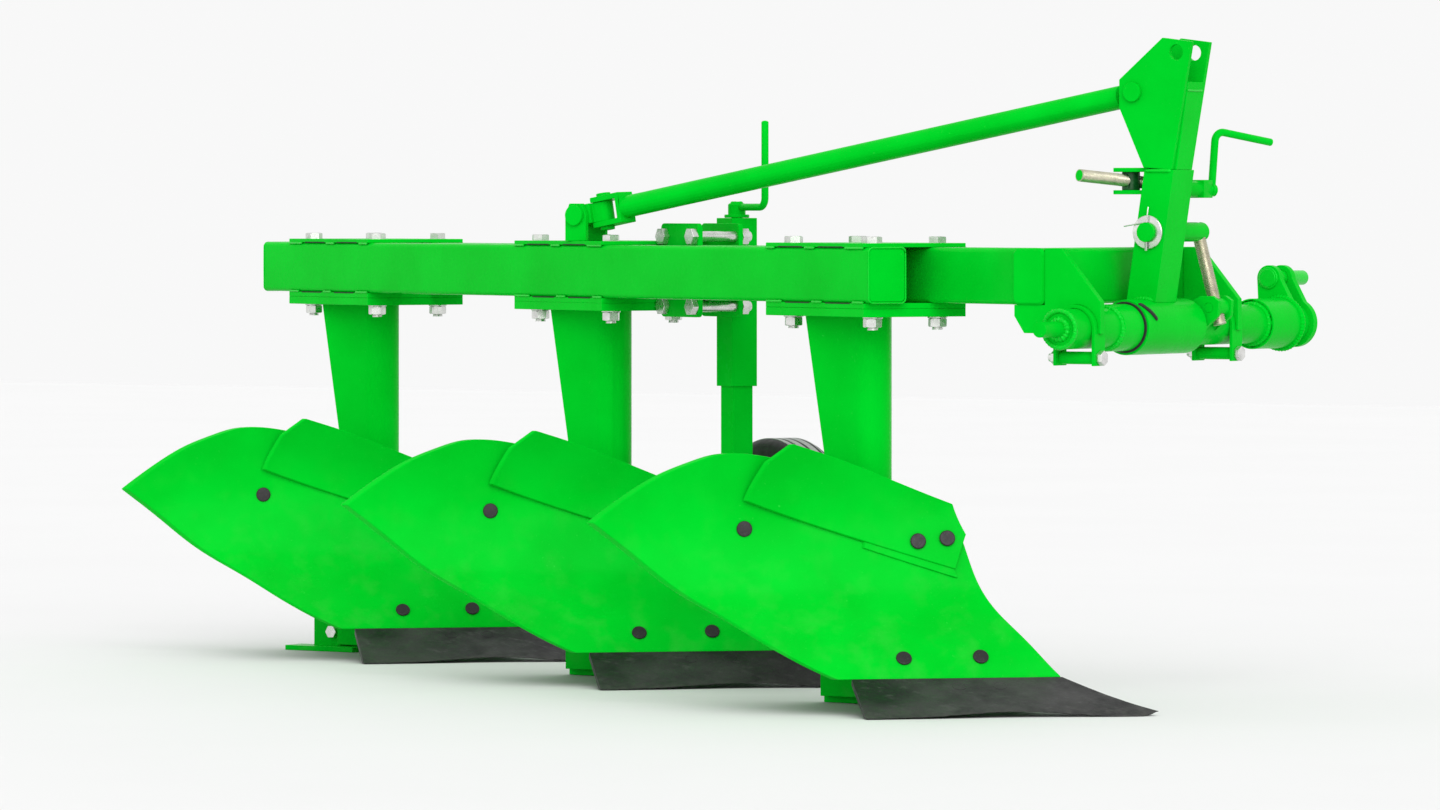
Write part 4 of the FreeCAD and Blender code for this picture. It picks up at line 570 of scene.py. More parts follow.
def thread(start, way, long, radius, step, deep):
    """A screw thread: the radius falls and rises with distance less one step each turn."""
    around = 24
    rows = max(int(long / step * 8), 16)
    far = np.linspace(0, long, rows)[:, None]
    phase = (far / step - spread_turns(around) / (2 * math.pi)) % 1
    fade = np.clip(np.minimum(far, long - far) / step, 0, 1)
    flank = np.clip(np.abs(phase * 2 - 1) * 1.6 - 0.3, 0, 1)
    wide = radius - deep * flank * fade
    return start + far[..., None] * way + wide[..., None] * circle(way, around)


def bent_path(corners, bend, steps=9):
    """Straight runs joined by arcs: each corner gives way to an arc of the bend radius."""
    path = [corners[0]]
    for before, corner, after in zip(corners, corners[1:], corners[2:]):
        into, out = unit(corner - before), unit(after - corner)
        half = math.acos(np.clip(into @ out, -1, 1)) / 2
        centre = corner + unit(out - into) * bend / math.cos(half)
        first = unit(corner - into * bend * math.tan(half) - centre)
        turns = np.linspace(0, 2 * half, steps)[:, None]
        path += list(centre + bend * (np.cos(turns) * first + np.sin(turns) * into))
    path.append(corners[-1])
    return np.array(path)


def rings_along(path, flat_way, steps):
    """The way along a path that lies in one plane, and the directions round each point."""
    along = np.gradient(path, axis=0)
    along /= np.linalg.norm(along, axis=1)[:, None]
    up = np.cross(along, flat_way)
    turns = spread_turns(steps)[:, None]
    return along, np.cos(turns) * flat_way + np.sin(turns) * up[:, None, :]


def bent_bar(path, radius, flat_way, steps=20):
    """A round bar along a path that lies in one plane, with rounded ends."""
    along, ring = rings_along(path, flat_way, steps)
    ends = []
    for index, sign in ((0, -1), (-1, 1)):
        for share in (0.35, 0.8, 1.0):
            spot = path[index] + along[index] * sign * radius * 0.5 * share
            ends.append(spot + radius * math.sqrt(1 - share ** 2) * ring[index])
    body = path[:, None, :] + radius * ring
    return np.concatenate((np.array(ends[:3][::-1]), body, np.array(ends[3:])))


def weld(start, end, radius, out, seed=0):
    """A weld bead: a bar whose radius ripples along it and that fades at both ends."""
    long = np.linalg.norm(end - start)
    way = (end - start) / long
    far = np.linspace(0, long, max(int(long / BEAD_STEP), 12))
    slow, sweep = 0.031, 0.0009
    ripple = 1 + 0.1 * np.sin(far / RIPPLE * 2 * math.pi + seed) ** 3
    ripple += 0.07 * np.sin(far / slow + seed * 1.7)
    fade = np.sqrt(np.clip(np.minimum(far, long - far) / (radius * 1.2), 0, 1))
    turns = spread_turns(12)
    ring = np.cos(turns)[:, None] * out + np.sin(turns)[:, None] * np.cross(way, out)
    spots = start + (far[:, None] - sweep * np.cos(turns))[..., None] * way
    return spots + radius * (ripple * fade)[:, None, None] * ring


def path_weld(path, flat_way, radius, seed=0):
    """A weld bead along a path in one plane: a bar whose radius ripples with distance."""
    steps = np.linalg.norm(np.diff(path, axis=0), axis=1)
    far = np.concatenate(([0], np.cumsum(steps)))
    spread = np.linspace(0, far[-1], max(int(far[-1] / BEAD_STEP), 12))
    spots = np.stack([np.interp(spread, far, path[:, k]) for k in range(3)], axis=-1)
    wide = radius * (1 + 0.12 * np.sin(spread / RIPPLE * 2 * math.pi + seed)
                     + 0.07 * np.sin(spread / 0.017 + seed))
    wide *= np.sqrt(np.clip(np.minimum(spread, far[-1] - spread) / radius, 0.02, 1))
    return spots[:, None, :] + wide[:, None, None] * rings_along(spots, flat_way, 10)[1]


def ring_weld(centre, way, ring_radius, radius, seed=0):
    """A weld bead that runs round a bar: a rippled ring."""
    long = ring_radius * 2 * math.pi
    around = int(max(long / 0.0018, 60))
    turns = spread_turns(around)
    outward = circle(way, around)[:, None, :]
    lumps = max(int(long / RIPPLE), 8)
    wide = radius * (1 + 0.12 * np.sin(turns * lumps + seed) + 0.06 * np.sin(turns * 5 + seed))
    small = spread_turns(10)[None, :, None]
    cross = np.cos(small) * outward + np.sin(small) * way
    grid = centre + ring_radius * outward + wide[:, None, None] * cross
    return np.concatenate((grid, grid[:1]))


# Curved sheets
def natural_spline(knots, values, places):
    """A smooth curve through values at knots, read at other places: cubics with free ends."""
    gaps = np.diff(knots)
    count = len(knots)
    system = np.eye(count)
    inner = np.arange(1, count - 1)
    system[inner, inner - 1] = gaps[:-1]
    system[inner, inner] = 2 * (gaps[:-1] + gaps[1:])
    system[inner, inner + 1] = gaps[1:]
    slopes = np.diff(values, axis=0) / gaps.reshape(-1, *[1] * (values.ndim - 1))
    right = np.zeros(values.shape)
    right[1:-1] = 6 * np.diff(slopes, axis=0)
    bend = np.linalg.solve(system, right)
    cell = np.clip(np.searchsorted(knots, places) - 1, 0, count - 2)
    gap = gaps[cell]
    before, after = (places - knots[cell]) / gap, (knots[cell + 1] - places) / gap
    if values.ndim > 1:
        gap, before, after = gap[:, None], before[:, None], after[:, None]
    bend_low, bend_high = bend[cell] * gap ** 2 / 6, bend[cell + 1] * gap ** 2 / 6
    return (values[cell] * after + values[cell + 1] * before
            + bend_low * (after ** 3 - after) + bend_high * (before ** 3 - before))


def smooth_run(points, count):
    """Evenly spread points on a smooth curve through some others."""
    far = np.concatenate(([0], np.cumsum(np.linalg.norm(np.diff(points, axis=0), axis=1))))
    return natural_spline(far, points, np.linspace(0, far[-1], count))


def straight_run(points, counts):
    """Straight lines from corner to corner, each cut into its own number of steps."""
    runs = [np.linspace(a, b, n, endpoint=False)
            for a, b, n in zip(points, points[1:], counts)]
    return np.concatenate(runs + [np.array(points[-1:])])


def patch(low, high, left, right):
    """A grid inside four edges: the blend of both pairs of edges less that of the corners."""
    u = np.linspace(0, 1, len(low))[:, None, None]
    v = np.linspace(0, 1, len(left))[None, :, None]
    across = (1 - v) * low[:, None] + v * high[:, None]
    upward = (1 - u) * left[None] + u * right[None]
    corners = ((1 - u) * (1 - v) * low[0] + u * (1 - v) * low[-1]
               + (1 - u) * v * high[0] + u * v * high[-1])
    return across + upward - corners


def on_board(shares, offset, lean):
    """Points of a board's twisted sheet: level lines whose heading and shin change upwards."""
    size = sizes()
    wide = shares[..., 0] * size.board_reach
    high = shares[..., 1]
    shin, heading, tilt = (
        natural_spline(LEVEL_SHARES, values, high.ravel()).reshape(high.shape)
        for values in (SHIN_SHARES, LEVEL_ANGLES, LEAN_SHARES))
    ahead = offset + lean * np.clip(tilt, 0, 1)
    run = (wide - np.cos(heading) * ahead) / np.sin(heading)
    back = size.board_foot + (size.board_back - size.board_foot) * shin
    x = -back - np.cos(heading) * run + np.sin(heading) * ahead
    return np.stack((x, -wide, high * size.board_high), axis=-1)


def rim(grid):
    """The points round the outside of a grid."""
    return np.concatenate((grid[:-1, 0], grid[-1, :-1], grid[:0:-1, -1], grid[0, :0:-1]))


def plate(front, rear, rows):
    """A closed plate: a front grid, a rear grid and the rim between their outlines."""
    form = Form().add(front)
    form.add(rear[::-1])
    return form.ring(np.linspace(rim(front), rim(rear), rows))


def sheet(outline, front, rear, lean=0.0):
    """A plate on the twisted surface, from one distance before it to another."""
    return plate(on_board(outline, front, lean), on_board(outline, rear, lean), 3)


# Finishes
def feed(tree, node, values):
    """Set a shader node's inputs, each to a value, a colour or another node's output."""
    for name, value in values.items():
        socket = node.inputs[name]
        if isinstance(value, bpy.types.NodeSocket):
            tree.links.new(value, socket)
        elif socket.type == "RGBA":
            socket.default_value = (*value, 1.0)
        else:
            socket.default_value = value
    return node


def shader_node(tree, kind, values):
    """A new shader node with its inputs set."""
    return feed(tree, tree.nodes.new("ShaderNode" + kind), values)


def new_finish(name):
    """A new material with its node tree and its shader."""
    material = bpy.data.materials.new(name)
    material.use_nodes = True
    tree = material.node_tree
    return material, tree, tree.nodes["Principled BSDF"]


def noise(tree, spot, scale, detail, stretch=(1, 1, 1), rough=0.55):
    """Cloudy noise in object space, stretched along the axes."""
    place = shader_node(tree, "TexCoord", {}).outputs["Object"]
    mapping = shader_node(tree, "Mapping", {"Vector": place, "Scale": stretch, "Location": spot})
    values = {"Vector": mapping.outputs["Vector"], "Scale": scale, "Detail": detail,
              "Roughness": rough}
    return shader_node(tree, "TexNoise", values).outputs["Fac"]


def ramp(tree, value, reach, to=(0.0, 1.0)):
    """A value's reach stretched to another one."""
    values = {"Value": value, "From Min": reach[0], "From Max": reach[1], "To Min": to[0],
              "To Max": to[1]}
    return shader_node(tree, "MapRange", values).outputs["Result"]


def cloud(tree, spot, scale, detail, reach, to=(0.0, 1.0), **look):
    """Cloudy noise whose reach is stretched to another one."""
    return ramp(tree, noise(tree, spot, scale, detail, **look), reach, to)


def blend(tree, share, first, second):
    """Two colours mixed by a share."""
    mix = tree.nodes.new("ShaderNodeMix")
    mix.data_type = "RGBA"
    return feed(tree, mix, {"Factor": share, "A": first, "B": second}).outputs["Result"]


def product(tree, first, second):
    """Two shares multiplied."""
    node = tree.nodes.new("ShaderNodeMath")
    node.operation = "MULTIPLY"
    return feed(tree, node, {0: first, 1: second}).outputs["Value"]


def low_share(tree, low, high):
    """One at the low height fading to nought at the high one."""
    place = shader_node(tree, "TexCoord", {}).outputs["Object"]
    split = shader_node(tree, "SeparateXYZ", {"Vector": place})
    return ramp(tree, split.outputs["Z"], (low, high), (1.0, 0.0))


def join(tree, shader, paint, gloss, grain, strength, distance):
    """Join paint, gloss and a fine relief to the shader."""
    bump = shader_node(tree, "Bump", {"Height": grain, "Strength": strength,
                                      "Distance": distance})
    feed(tree, shader, {"Base Color": paint, "Roughness": gloss,
                        "Normal": bump.outputs["Normal"]})


def enamel(name, rough, peel, shine):
    """Gloss enamel: two close greens in soft clouds, fine peel, a little dust low down."""
    tint = colours()
    material, tree, shader = new_finish(name)
    clouds = cloud(tree, (0, 0, 0), 7, 5, (0.38, 0.66))
    paint = blend(tree, clouds, tint.enamel, tint.enamel_deep)
    specks = cloud(tree, (3, 1, 2), 260, 3, (0.66, 0.74), (0.0, 0.35))
    dust = product(tree, low_share(tree, 0.02, 0.34),
                   cloud(tree, (5, 2, 1), 26, 8, (0.5, 0.72), (0.0, 0.05)))
    paint = blend(tree, dust, paint, DUST)
    paint = blend(tree, product(tree, specks, clouds), paint, SPECKS)
    gloss = cloud(tree, (1, 4, 2), 38, 6, GLOSS_REACH, (rough - 0.04, rough + 0.1))
    join(tree, shader, paint, gloss, noise(tree, (0, 0, 0), 190, 4), strength=peel,
         distance=0.0005)
    feed(tree, shader, {"Specular IOR Level": shine, "Specular Tint": tint.enamel_glint})
    return material


def share_paint():
    """Satin black on forged steel: long scuffs, pale wear at the cutting edge."""
    tint = colours()
    material, tree, shader = new_finish("share_black")
    scuffs = cloud(tree, (0, 0, 0), 60, 9, (0.55, 0.75), stretch=(0.35, 1.0, 2.4), rough=0.68)
    edge = product(tree, low_share(tree, 0.0, 0.016),
                   cloud(tree, (2, 2, 2), 85, 6, (0.4, 0.62)))
    paint = blend(tree, scuffs, tint.share_black, tint.share_worn)
    patches = cloud(tree, (0, 3, 1), 9, 4, (0.36, 0.62), (0.0, 0.55))
    paint = blend(tree, patches, paint, tint.share_worn)
    paint = blend(tree, edge, paint, EDGE_WEAR)
    gloss = cloud(tree, (4, 1, 2), 45, 8, GLOSS_REACH, (0.34, 0.6))
    join(tree, shader, paint, gloss, noise(tree, (1, 1, 1), 120, 8), strength=0.5,
         distance=0.0012)
    feed(tree, shader, {"Specular IOR Level": 0.2})
    return material


def plated(name, base, rough):
    """Zinc plating: soft cloudy sheen and fine grain."""
    material, tree, shader = new_finish(name)
    clouds = cloud(tree, (0, 0, 0), 70, 6, (0.35, 0.7))
    paint = blend(tree, clouds, base, [share * PLATE_SHADE for share in base])
    gloss = cloud(tree, (2, 1, 0), 160, 5, GLOSS_REACH, (rough - 0.06, rough + 0.14))
    join(tree, shader, paint, gloss, noise(tree, (0, 2, 0), 600, 3), strength=0.2,
         distance=0.0002)
    feed(tree, shader, {"Metallic": 0.9})
    return material


def dark_finish(name, base, fleck, rough, grain):
    """A dark finish with small flecks and a grained surface."""
    material, tree, shader = new_finish(name)
    flecks = cloud(tree, (0, 0, 0), grain, 6, (0.56, 0.72), rough=0.7)
    paint = blend(tree, flecks, base, fleck)
    gloss = cloud(tree, (1, 3, 0), grain / 3, 5, GLOSS_REACH, (rough - 0.08, rough + 0.1))
    join(tree, shader, paint, gloss, noise(tree, (3, 0, 0), grain, 6), strength=0.4,
         distance=0.0006)
    feed(tree, shader, {"Specular IOR Level": 0.3})
    return material


def make_finishes():
    """Every finish of the plough by name."""
    tint = colours()
    finishes.update(
        frame=enamel("frame_enamel", rough=0.24, peel=0.3, shine=0.03),
        board=enamel("board_enamel", rough=0.2, peel=0.16, shine=0.1),
        welded=enamel("weld_enamel", rough=0.22, peel=0.9, shine=0.5),
        share=share_paint(),
        zinc=plated("zinc_plate", tint.zinc, rough=0.24),
        screw=plated("screw_plate", tint.screw_zinc, rough=0.34),
        bolt=dark_finish("bolt_black", tint.bolt_black, (0.06, 0.05, 0.055), 0.42, 420),
        nut=dark_finish("dark_nut", tint.nut_dark, (0.01, 0.12, 0.03), 0.35, 260),
        rubber=dark_finish("seal_rubber", tint.rubber, (0.04, 0.04, 0.04), 0.5, 300),
        # Pale grey running face: painted highlight on the dark tyre
        tread=dark_finish("wheel_tread", tint.tread, (0.3, 0.3, 0.29), 0.5, 180),
        # Dark finish of the strips that stand for the shadow in the seams' gaps: painted shadow
        gap=dark_finish("seam_shadow", (0.008, 0.03, 0.01), (0.03, 0.05, 0.02), 0.7, 300))


# Pieces of the plough
class PLOUGH_OT_boards(bpy.types.Operator):
    """Build the twisted boards and the narrow boards above them"""
    bl_idname = "plough.boards"
    bl_label = "Boards"

    def execute(self, context):
        size = sizes()
        low = straight_run([BOARD_SHIN[0], BOARD_EDGE_LOW[0]], [71])
        board = patch(low, smooth_run(BOARD_EDGE_TOP, 72)[::-1], smooth_run(BOARD_SHIN, 48),
                      smooth_run(BOARD_EDGE_LOW, 48))
        low = straight_run(TRASH_LOW[1:], [60])
        shin = straight_run([TRASH_LOW[1], TRASH_LOW[0], TRASH_TOP[0]], [12, 8])
        trash = patch(low, smooth_run(TRASH_TOP, 61), shin, straight_run(TRASH_END, [12, 8]))
        low, top = (straight_run(edge, [24]) for edge in (STRIP_LOW, STRIP_TOP))
        ends = [straight_run(corners, [6]) for corners in zip(STRIP_LOW, STRIP_TOP)]
        strip = patch(low, top, *ends)
        front, lean = size.seat_clear + size.trash_thick, size.trash_lean
        kinds = (
            ("packing_strip_%d", sheet(strip, front * STRIP_THICK, size.seat_clear, lean),
             (), STRIP_EASE),
            ("mouldboard_sheet_%d", sheet(board, 0.0, -size.board_thick),
             ("mouldboard_%d",), SHEET_EASE),
            ("trash_sheet_%d", sheet(trash, front, size.seat_clear, lean),
             ("trash_board_%d",), SHEET_EASE),
        )
        for index in range(BODIES):
            for name, form, nodes, ease in kinds:
                piece(name % (index + 1), form.moved(body_origin(index)), "board",
                      nodes=[node % (index + 1) for node in nodes], ease=ease)
        return {"FINISHED"}


class PLOUGH_OT_shares(bpy.types.Operator):
    """Build the black shares with their hollow, slightly nicked cutting edges"""
    bl_idname = "plough.shares"
    bl_label = "Shares"

    def execute(self, context):
        size = sizes()
        edge, lift = math.radians(size.share_angle), math.radians(size.share_lift)
        along = np.array((-math.cos(edge), -math.sin(edge), 0.0))
        upward = np.array((-math.sin(edge) * math.cos(lift), math.cos(edge) * math.cos(lift),
                           math.sin(lift)))
        inward = np.cross(along, upward)
        flush = math.cos(lift) / math.tan(edge)
        least = 0.0006

        # A point lies so far along the cutting edge and so far up the slope. The slope begins at
        # the hollowed edge. Its near end shifts with height to stay in the landside's plane, and
        # the nose runs out before it.
        u = np.linspace(0, 1, 160)[:, None]
        v = np.linspace(0, 1, 30)[None, :]
        hollow = size.share_bow * natural_spline(*SHARE_EDGE.T, u.ravel())[:, None]
        nicks = 0.0006 * np.sin(u * 61) * np.sin(u * 23 + 1) + 0.0004 * np.sin(u * 137)
        start = np.clip(hollow + nicks, 0, None)
        up = start + (size.share_wide - start) * v
        left = up * flush
        nose = size.share_nose * (1 - u) ** 10 * (1 - v) ** 3
        far = left + (size.share_long - left) * u - nose
        dents = 0.0005 * np.sin(u * 19 + v * 5) * np.sin(v * 7 + 0.6) * np.sin(math.pi * v)
        top = far[..., None] * along + up[..., None] * upward
        top = top + np.abs(dents)[..., None] * inward
        top[..., 2] = np.maximum(top[..., 2], least)
        depth = np.minimum(size.share_thick, (up - start) * math.tan(lift) + least)
        under = top + depth[..., None] * inward
        under[..., 2] = np.maximum(under[..., 2], 0.0)
        under[..., 1] = np.minimum(under[..., 1], np.maximum(top[..., 1], 0.0))
        form = plate(top, under, 2)
        mark = [(0, 0.0088), (0.0003, 0.0092), (0.0003, 0.0098), (0, 0.0102)]
        for long, wide in SHARE_MARKS:
            shift = size.share_wide * wide * flush
            spot = along * (shift + (size.share_long - shift) * long)
            form.ring(turned(spot + upward * size.share_wide * wide, -inward, mark))
        for index in range(BODIES):
            piece("share_blade_%d" % (index + 1), form.moved(body_origin(index)), "share",
                  nodes=("share_%d" % (index + 1),), ease=SHARE_EASE)
        return {"FINISHED"}


class PLOUGH_OT_beams(bpy.types.Operator):
    """Build the two oblique box beams and the cross beam in front of them"""
    bl_idname = "plough.beams"
    bl_label = "Beams"

    def execute(self, context):
        size = sizes()
        forward, left = beam_axes()
        ring = rounded_ring(size.beam_wide, size.beam_high, size.beam_round)
        middle = size.beam_low + size.beam_high / 2
        ease = size.cap_ease
        near = size.beam_wide / 2
        far = frame_wide() - near
        cap_inset = 0.985
        start, end = (on_beams(along, near, middle) for along in (0, size.beam_long))
        grid = prism(start, end, ring, left, UP, ease)
        piece("main_beam_tube", Form().bar(grid), nodes=("main_beam", "beam_caps"))
        beads = Form()
        for seed, spot in enumerate((start, end), 1):
            loop = spot + (ring[:, :1] * left + ring[:, 1:] * UP) * cap_inset
            beads.bar(path_weld(np.concatenate((loop, loop[:1])), forward, CAP_BEAD, seed))
        piece("cap_beads", beads, "welded")
        grid = prism(on_beams(0, far, middle), on_beams(size.beam_long, far, middle),
                     ring, left, UP, ease)
        face = axle_middle()[0] - size.cross_front - size.cross_deep
        gap = (face - grid[1, :, 0]) / forward[0]
        grid[1] += gap[:, None] * forward
        piece("side_beam_tube", Form().bar(grid[1:]), nodes=("side_beam",))
        ring = rounded_ring(size.cross_deep, size.beam_high, size.beam_round)
        spot = at(-size.cross_front - size.cross_deep / 2, 0, middle)
        half = LEFT * size.cross_long / 2
        grid = prism(spot - half, spot + half, ring, AHEAD, UP, ease)
        piece("cross_beam_tube", Form().bar(grid), nodes=("cross_beam",))
        return {"FINISHED"}


class PLOUGH_OT_leg_bolts(bpy.types.Operator):
    """Build the bolts, washers and nuts that hold the legs"""
    bl_idname = "plough.leg_bolts"
    bl_label = "Leg bolts"

    def execute(self, context):
        size = sizes()
        form = Form()
        top = UP * (size.beam_low + size.beam_high + size.plate_thick)
        low = UP * (size.beam_low - size.under_thick - size.flange_thick)
        flats, thick = size.bolt_flats, size.bolt_washer
        washer = bar_rows(thick, flats * 0.605, thick * 0.2)
        spots = [(index, side, across) for index in range(BODIES) for side in (-1, 1)
                 for across in (size.beam_wide / 2, frame_wide() - size.beam_wide / 2)]
        for count, (index, side, across) in enumerate(spots):
            turn = 0.5 + count * 1.7
            spot = on_beams(leg_along(index) + size.bolt_reach * side, across, 0)
            form.ring(hexagon(spot + top, UP, flats, size.bolt_high, turn))
            form.ring(turned(spot + low, -UP, washer))
            form.ring(hexagon(spot + low - UP * thick, -UP, flats, size.nut_high, turn * 1.3,
                              both=True))
            form.bar(thread(spot + low - UP * size.nut_high, -UP, size.bolt_tail,
                            size.bolt_radius, *BOLT_THREAD))
        piece("leg_bolt_set", form, "zinc", nodes=("leg_bolts",))
        return {"FINISHED"}


class PLOUGH_OT_seams(bpy.types.Operator):
    """Lay the broken weld beads along the plates, with dark strips of painted shadow left
    between them
    """
    bl_idname = "plough.seams"
    bl_label = "Seams"

    def execute(self, context):
        size = sizes()
        left = beam_axes()[1]
        shadow_wide, shadow_deep = 0.0015, 0.0005
        stray = 0.012
        beads, shadow_strips = Form(), Form()
        levels = ((size.beam_low + size.beam_high, UP), (size.beam_low, -UP))
        faces = ((0.0, -left), (frame_wide(), left))
        places = itertools.product(range(BODIES), levels, faces, SEAM_RUNS)
        for index, (z, up), (across, out), (begin, finish, welded) in places:
            shift = stray * math.sin(index * 5 + z * 31 + across * 7)
            start, end = (on_beams(leg_along(index, share) + shift * (0 < share < 1), across, z)
                          for share in (begin, finish))
            if welded:
                lift = out * 0.0002 - up * 0.001
                beads.bar(weld(start + lift, end + lift, SEAM_BEAD, out, index + z))
            else:
                # A dark strip on the plate's edge: painted shadow in the gap between beads
                ring = rounded_ring(np.linalg.norm(end - start), shadow_wide, shadow_wide, 4)
                middle = (start + end) / 2 + out * 0.0001 + up * 0.0005
                half = out * shadow_deep / 2
                shadow_strips.bar(prism(middle - half, middle + half, ring, unit(end - start), UP,
                                shadow_deep / 3))
        piece("seam_beads", beads, "welded")
        piece("painted_seam_shadows", shadow_strips, "gap")
        return {"FINISHED"}


def threaded_rod(name, start, end, radius, body, node):
    """A screw from one point to another, in place of the part's plain one."""
    size = sizes()
    grid = thread(start, unit(end - start), np.linalg.norm(end - start), radius,
                  size.thread_step, size.thread_deep)
    piece(name, Form().bar(grid), "screw", body, (node,))


class PLOUGH_OT_screws(bpy.types.Operator):
    """Build the two screws at the mast, and the crank handle of the upper one"""
    bl_idname = "plough.screws"
    bl_label = "Screws"

    def execute(self, context):
        size = sizes()
        pin = at(size.level_x, size.level_at, size.level_z)
        low = at(size.ear_x, size.level_at, size.ear_high)
        threaded_rod("level_screw_rod", pin, low + unit(low - pin) * size.level_run,
                     size.level_screw, "level_hanger", "level_screw")

        eye = at(size.upper_x, size.level_at + size.upper_aside, size.upper_z)
        nut = at(-size.swivel_x, size.mast_side, size.swivel_z)
        way = unit(eye - nut)
        tail = nut - way * size.screw_beyond
        radius, rod = size.upper_screw, size.crank_rod
        threaded_rod("upper_screw_rod", tail, eye, radius, "upper_crank", "upper_screw")
        rows = [(0, 0), (0, radius * 0.86), (0.0005, radius * 0.9), (0.0009, radius * 0.9),
                (0.0009, 0)]
        piece("upper_screw_face", Form().ring(turned(tail - way * 0.0003, way, rows)),
              body="upper_crank")
        arm = unit(UP - way * way[2])
        low_end = eye + way * size.upper_off
        high_end = low_end + arm * size.upper_arm
        grip = unit(way - arm * 0.07) * size.upper_grip
        path = bent_path([low_end - arm * rod * 0.8, high_end, high_end + grip],
                         size.crank_bend)
        form = Form().bar(bent_bar(path, rod, unit(np.cross(way, arm))))
        form.ring(turned(eye, way, bar_rows(size.upper_off + rod, radius * 0.99)))
        form.ring(ring_weld(low_end - way * rod * 0.3, way, radius * 0.9, HANDLE_BEAD))
        piece("upper_crank_handle", form, body="upper_crank")
        return {"FINISHED"}


class PLOUGH_OT_fastenings(bpy.types.Operator):
    """Build the washer and the splayed split pin on the levelling pin"""
    bl_idname = "plough.fastenings"
    bl_label = "Washer and split pin"

    def execute(self, context):
        size = sizes()
        low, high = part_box("pin_fastenings")
        wide = (high[0] - low[0]) / 2
        middle = np.array(((low[0] + high[0]) / 2, high[1], (low[2] + high[2]) / 2))
        rows = bar_rows(size.washer_thick, wide, 0.0008, size.level_pin * 1.02)
        form = Form().ring(turned(middle, -LEFT, rows, 72))
        wire, bend = size.split_wire, 0.003
        spot = middle - LEFT * (size.washer_thick + wire * 1.6)
        reach = wide + size.split_spread
        foot = spot - UP * (middle[2] - low[2] - wire)
        for sign, tip in ((1, UP * reach + AHEAD * wire * 2),
                          (-1, UP * size.level_pin * 0.6 - AHEAD * reach)):
            split = AHEAD * sign * wire * 0.5
            path = bent_path([foot + split, spot + UP * size.level_pin + split, spot + tip],
                             bend, 7)
            form.bar(bent_bar(path, wire * 0.5, -LEFT, 12))
        piece("washer_and_split_pin", form, "zinc", "level_hanger",
              ("pin_fastenings",))
        return {"FINISHED"}


class PLOUGH_OT_wheel(bpy.types.Operator):
    """Build the depth wheel's running face, coloured pale grey as a painted highlight on the
    dark tyre: grooved where a sine across it passes a limit
    """
    bl_idname = "plough.wheel"
    bl_label = "Depth wheel"

    def execute(self, context):
        size = sizes()
        low, high = (np.array(corner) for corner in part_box("depth_wheel"))
        radius = (high[2] - low[2]) / 2
        half = size.wheel_wide / 2 - size.tyre_round * 0.8
        flat = np.linspace(-half, half, 30)
        outer, groove, inner = radius + 0.0004, 0.0012, radius - 0.004
        ribs = outer - groove * (np.sin(flat * 420) > 0.6)
        rows = [(-half, inner), *zip(flat, ribs), (half, inner)]
        tread = turned((low + high) / 2, beam_axes()[1], rows, 144)
        piece("wheel_tread", Form().ring(tread), "tread", "wheel", sharp=50)
        return {"FINISHED"}


class PLOUGH_OT_hitch(bpy.types.Operator):
    """Build the axle's thick end, the strap spacers and the left hitch pin with its weld"""
    bl_idname = "plough.hitch"
    bl_label = "Hitch end"

    def execute(self, context):
        size = sizes()
        long = size.crank_inner - size.disc_at - 0.0003
        ease = 0.0022
        disc = at(0, size.disc_at, size.axle_high)
        plate_face = at(0, size.crank_inner, size.axle_high)
        form = Form().ring(turned(disc, LEFT, [
            (0, size.axle_radius), (0, size.end_radius - ease), (ease, size.end_radius),
            (long, size.end_radius), (long, size.axle_radius)], 72))
        form.ring(ring_weld(plate_face, LEFT, size.end_radius, END_BEAD, 2))
        form.ring(ring_weld(disc, LEFT, size.axle_radius, DISC_BEAD, 5))
        piece("axle_thick_end", form, body="axle")
        tubes = Form()
        half = size.axle_radius
        bore, wall = 0.0082, 0.009
        for y in (-size.strap_at, size.strap_at):
            tubes.ring(turned(at(-half, y, size.strap_z), AHEAD, [
                (0, bore), (0, wall), (half * 2, wall), (half * 2, bore)]))
        piece("strap_spacers", tubes)
        head, head_radius, pin = 0.004, 0.0135, size.hitch_pin
        spot = at(-size.hitch_back, size.crank_inner - head, size.axle_high + size.hitch_rise)
        held = size.crank_outer - size.crank_inner + head
        free = held + size.hitch_long
        form = Form().ring(turned(spot, LEFT, [
            (0, 0), (0, head_radius - 0.001), (0.0008, head_radius), (head, head_radius),
            (head, size.hitch_held), (held, size.hitch_held), (held, pin),
            (free - 0.0015, pin), (free, pin - 0.0015), (free, 0)], 56))
        form.ring(ring_weld(spot + LEFT * (head - 0.0006), LEFT, 0.0142, HANDLE_BEAD, 1))
        piece("left_hitch_pin", form, "welded", "axle", nodes=("hitch_pin_left",))
        return {"FINISHED"}


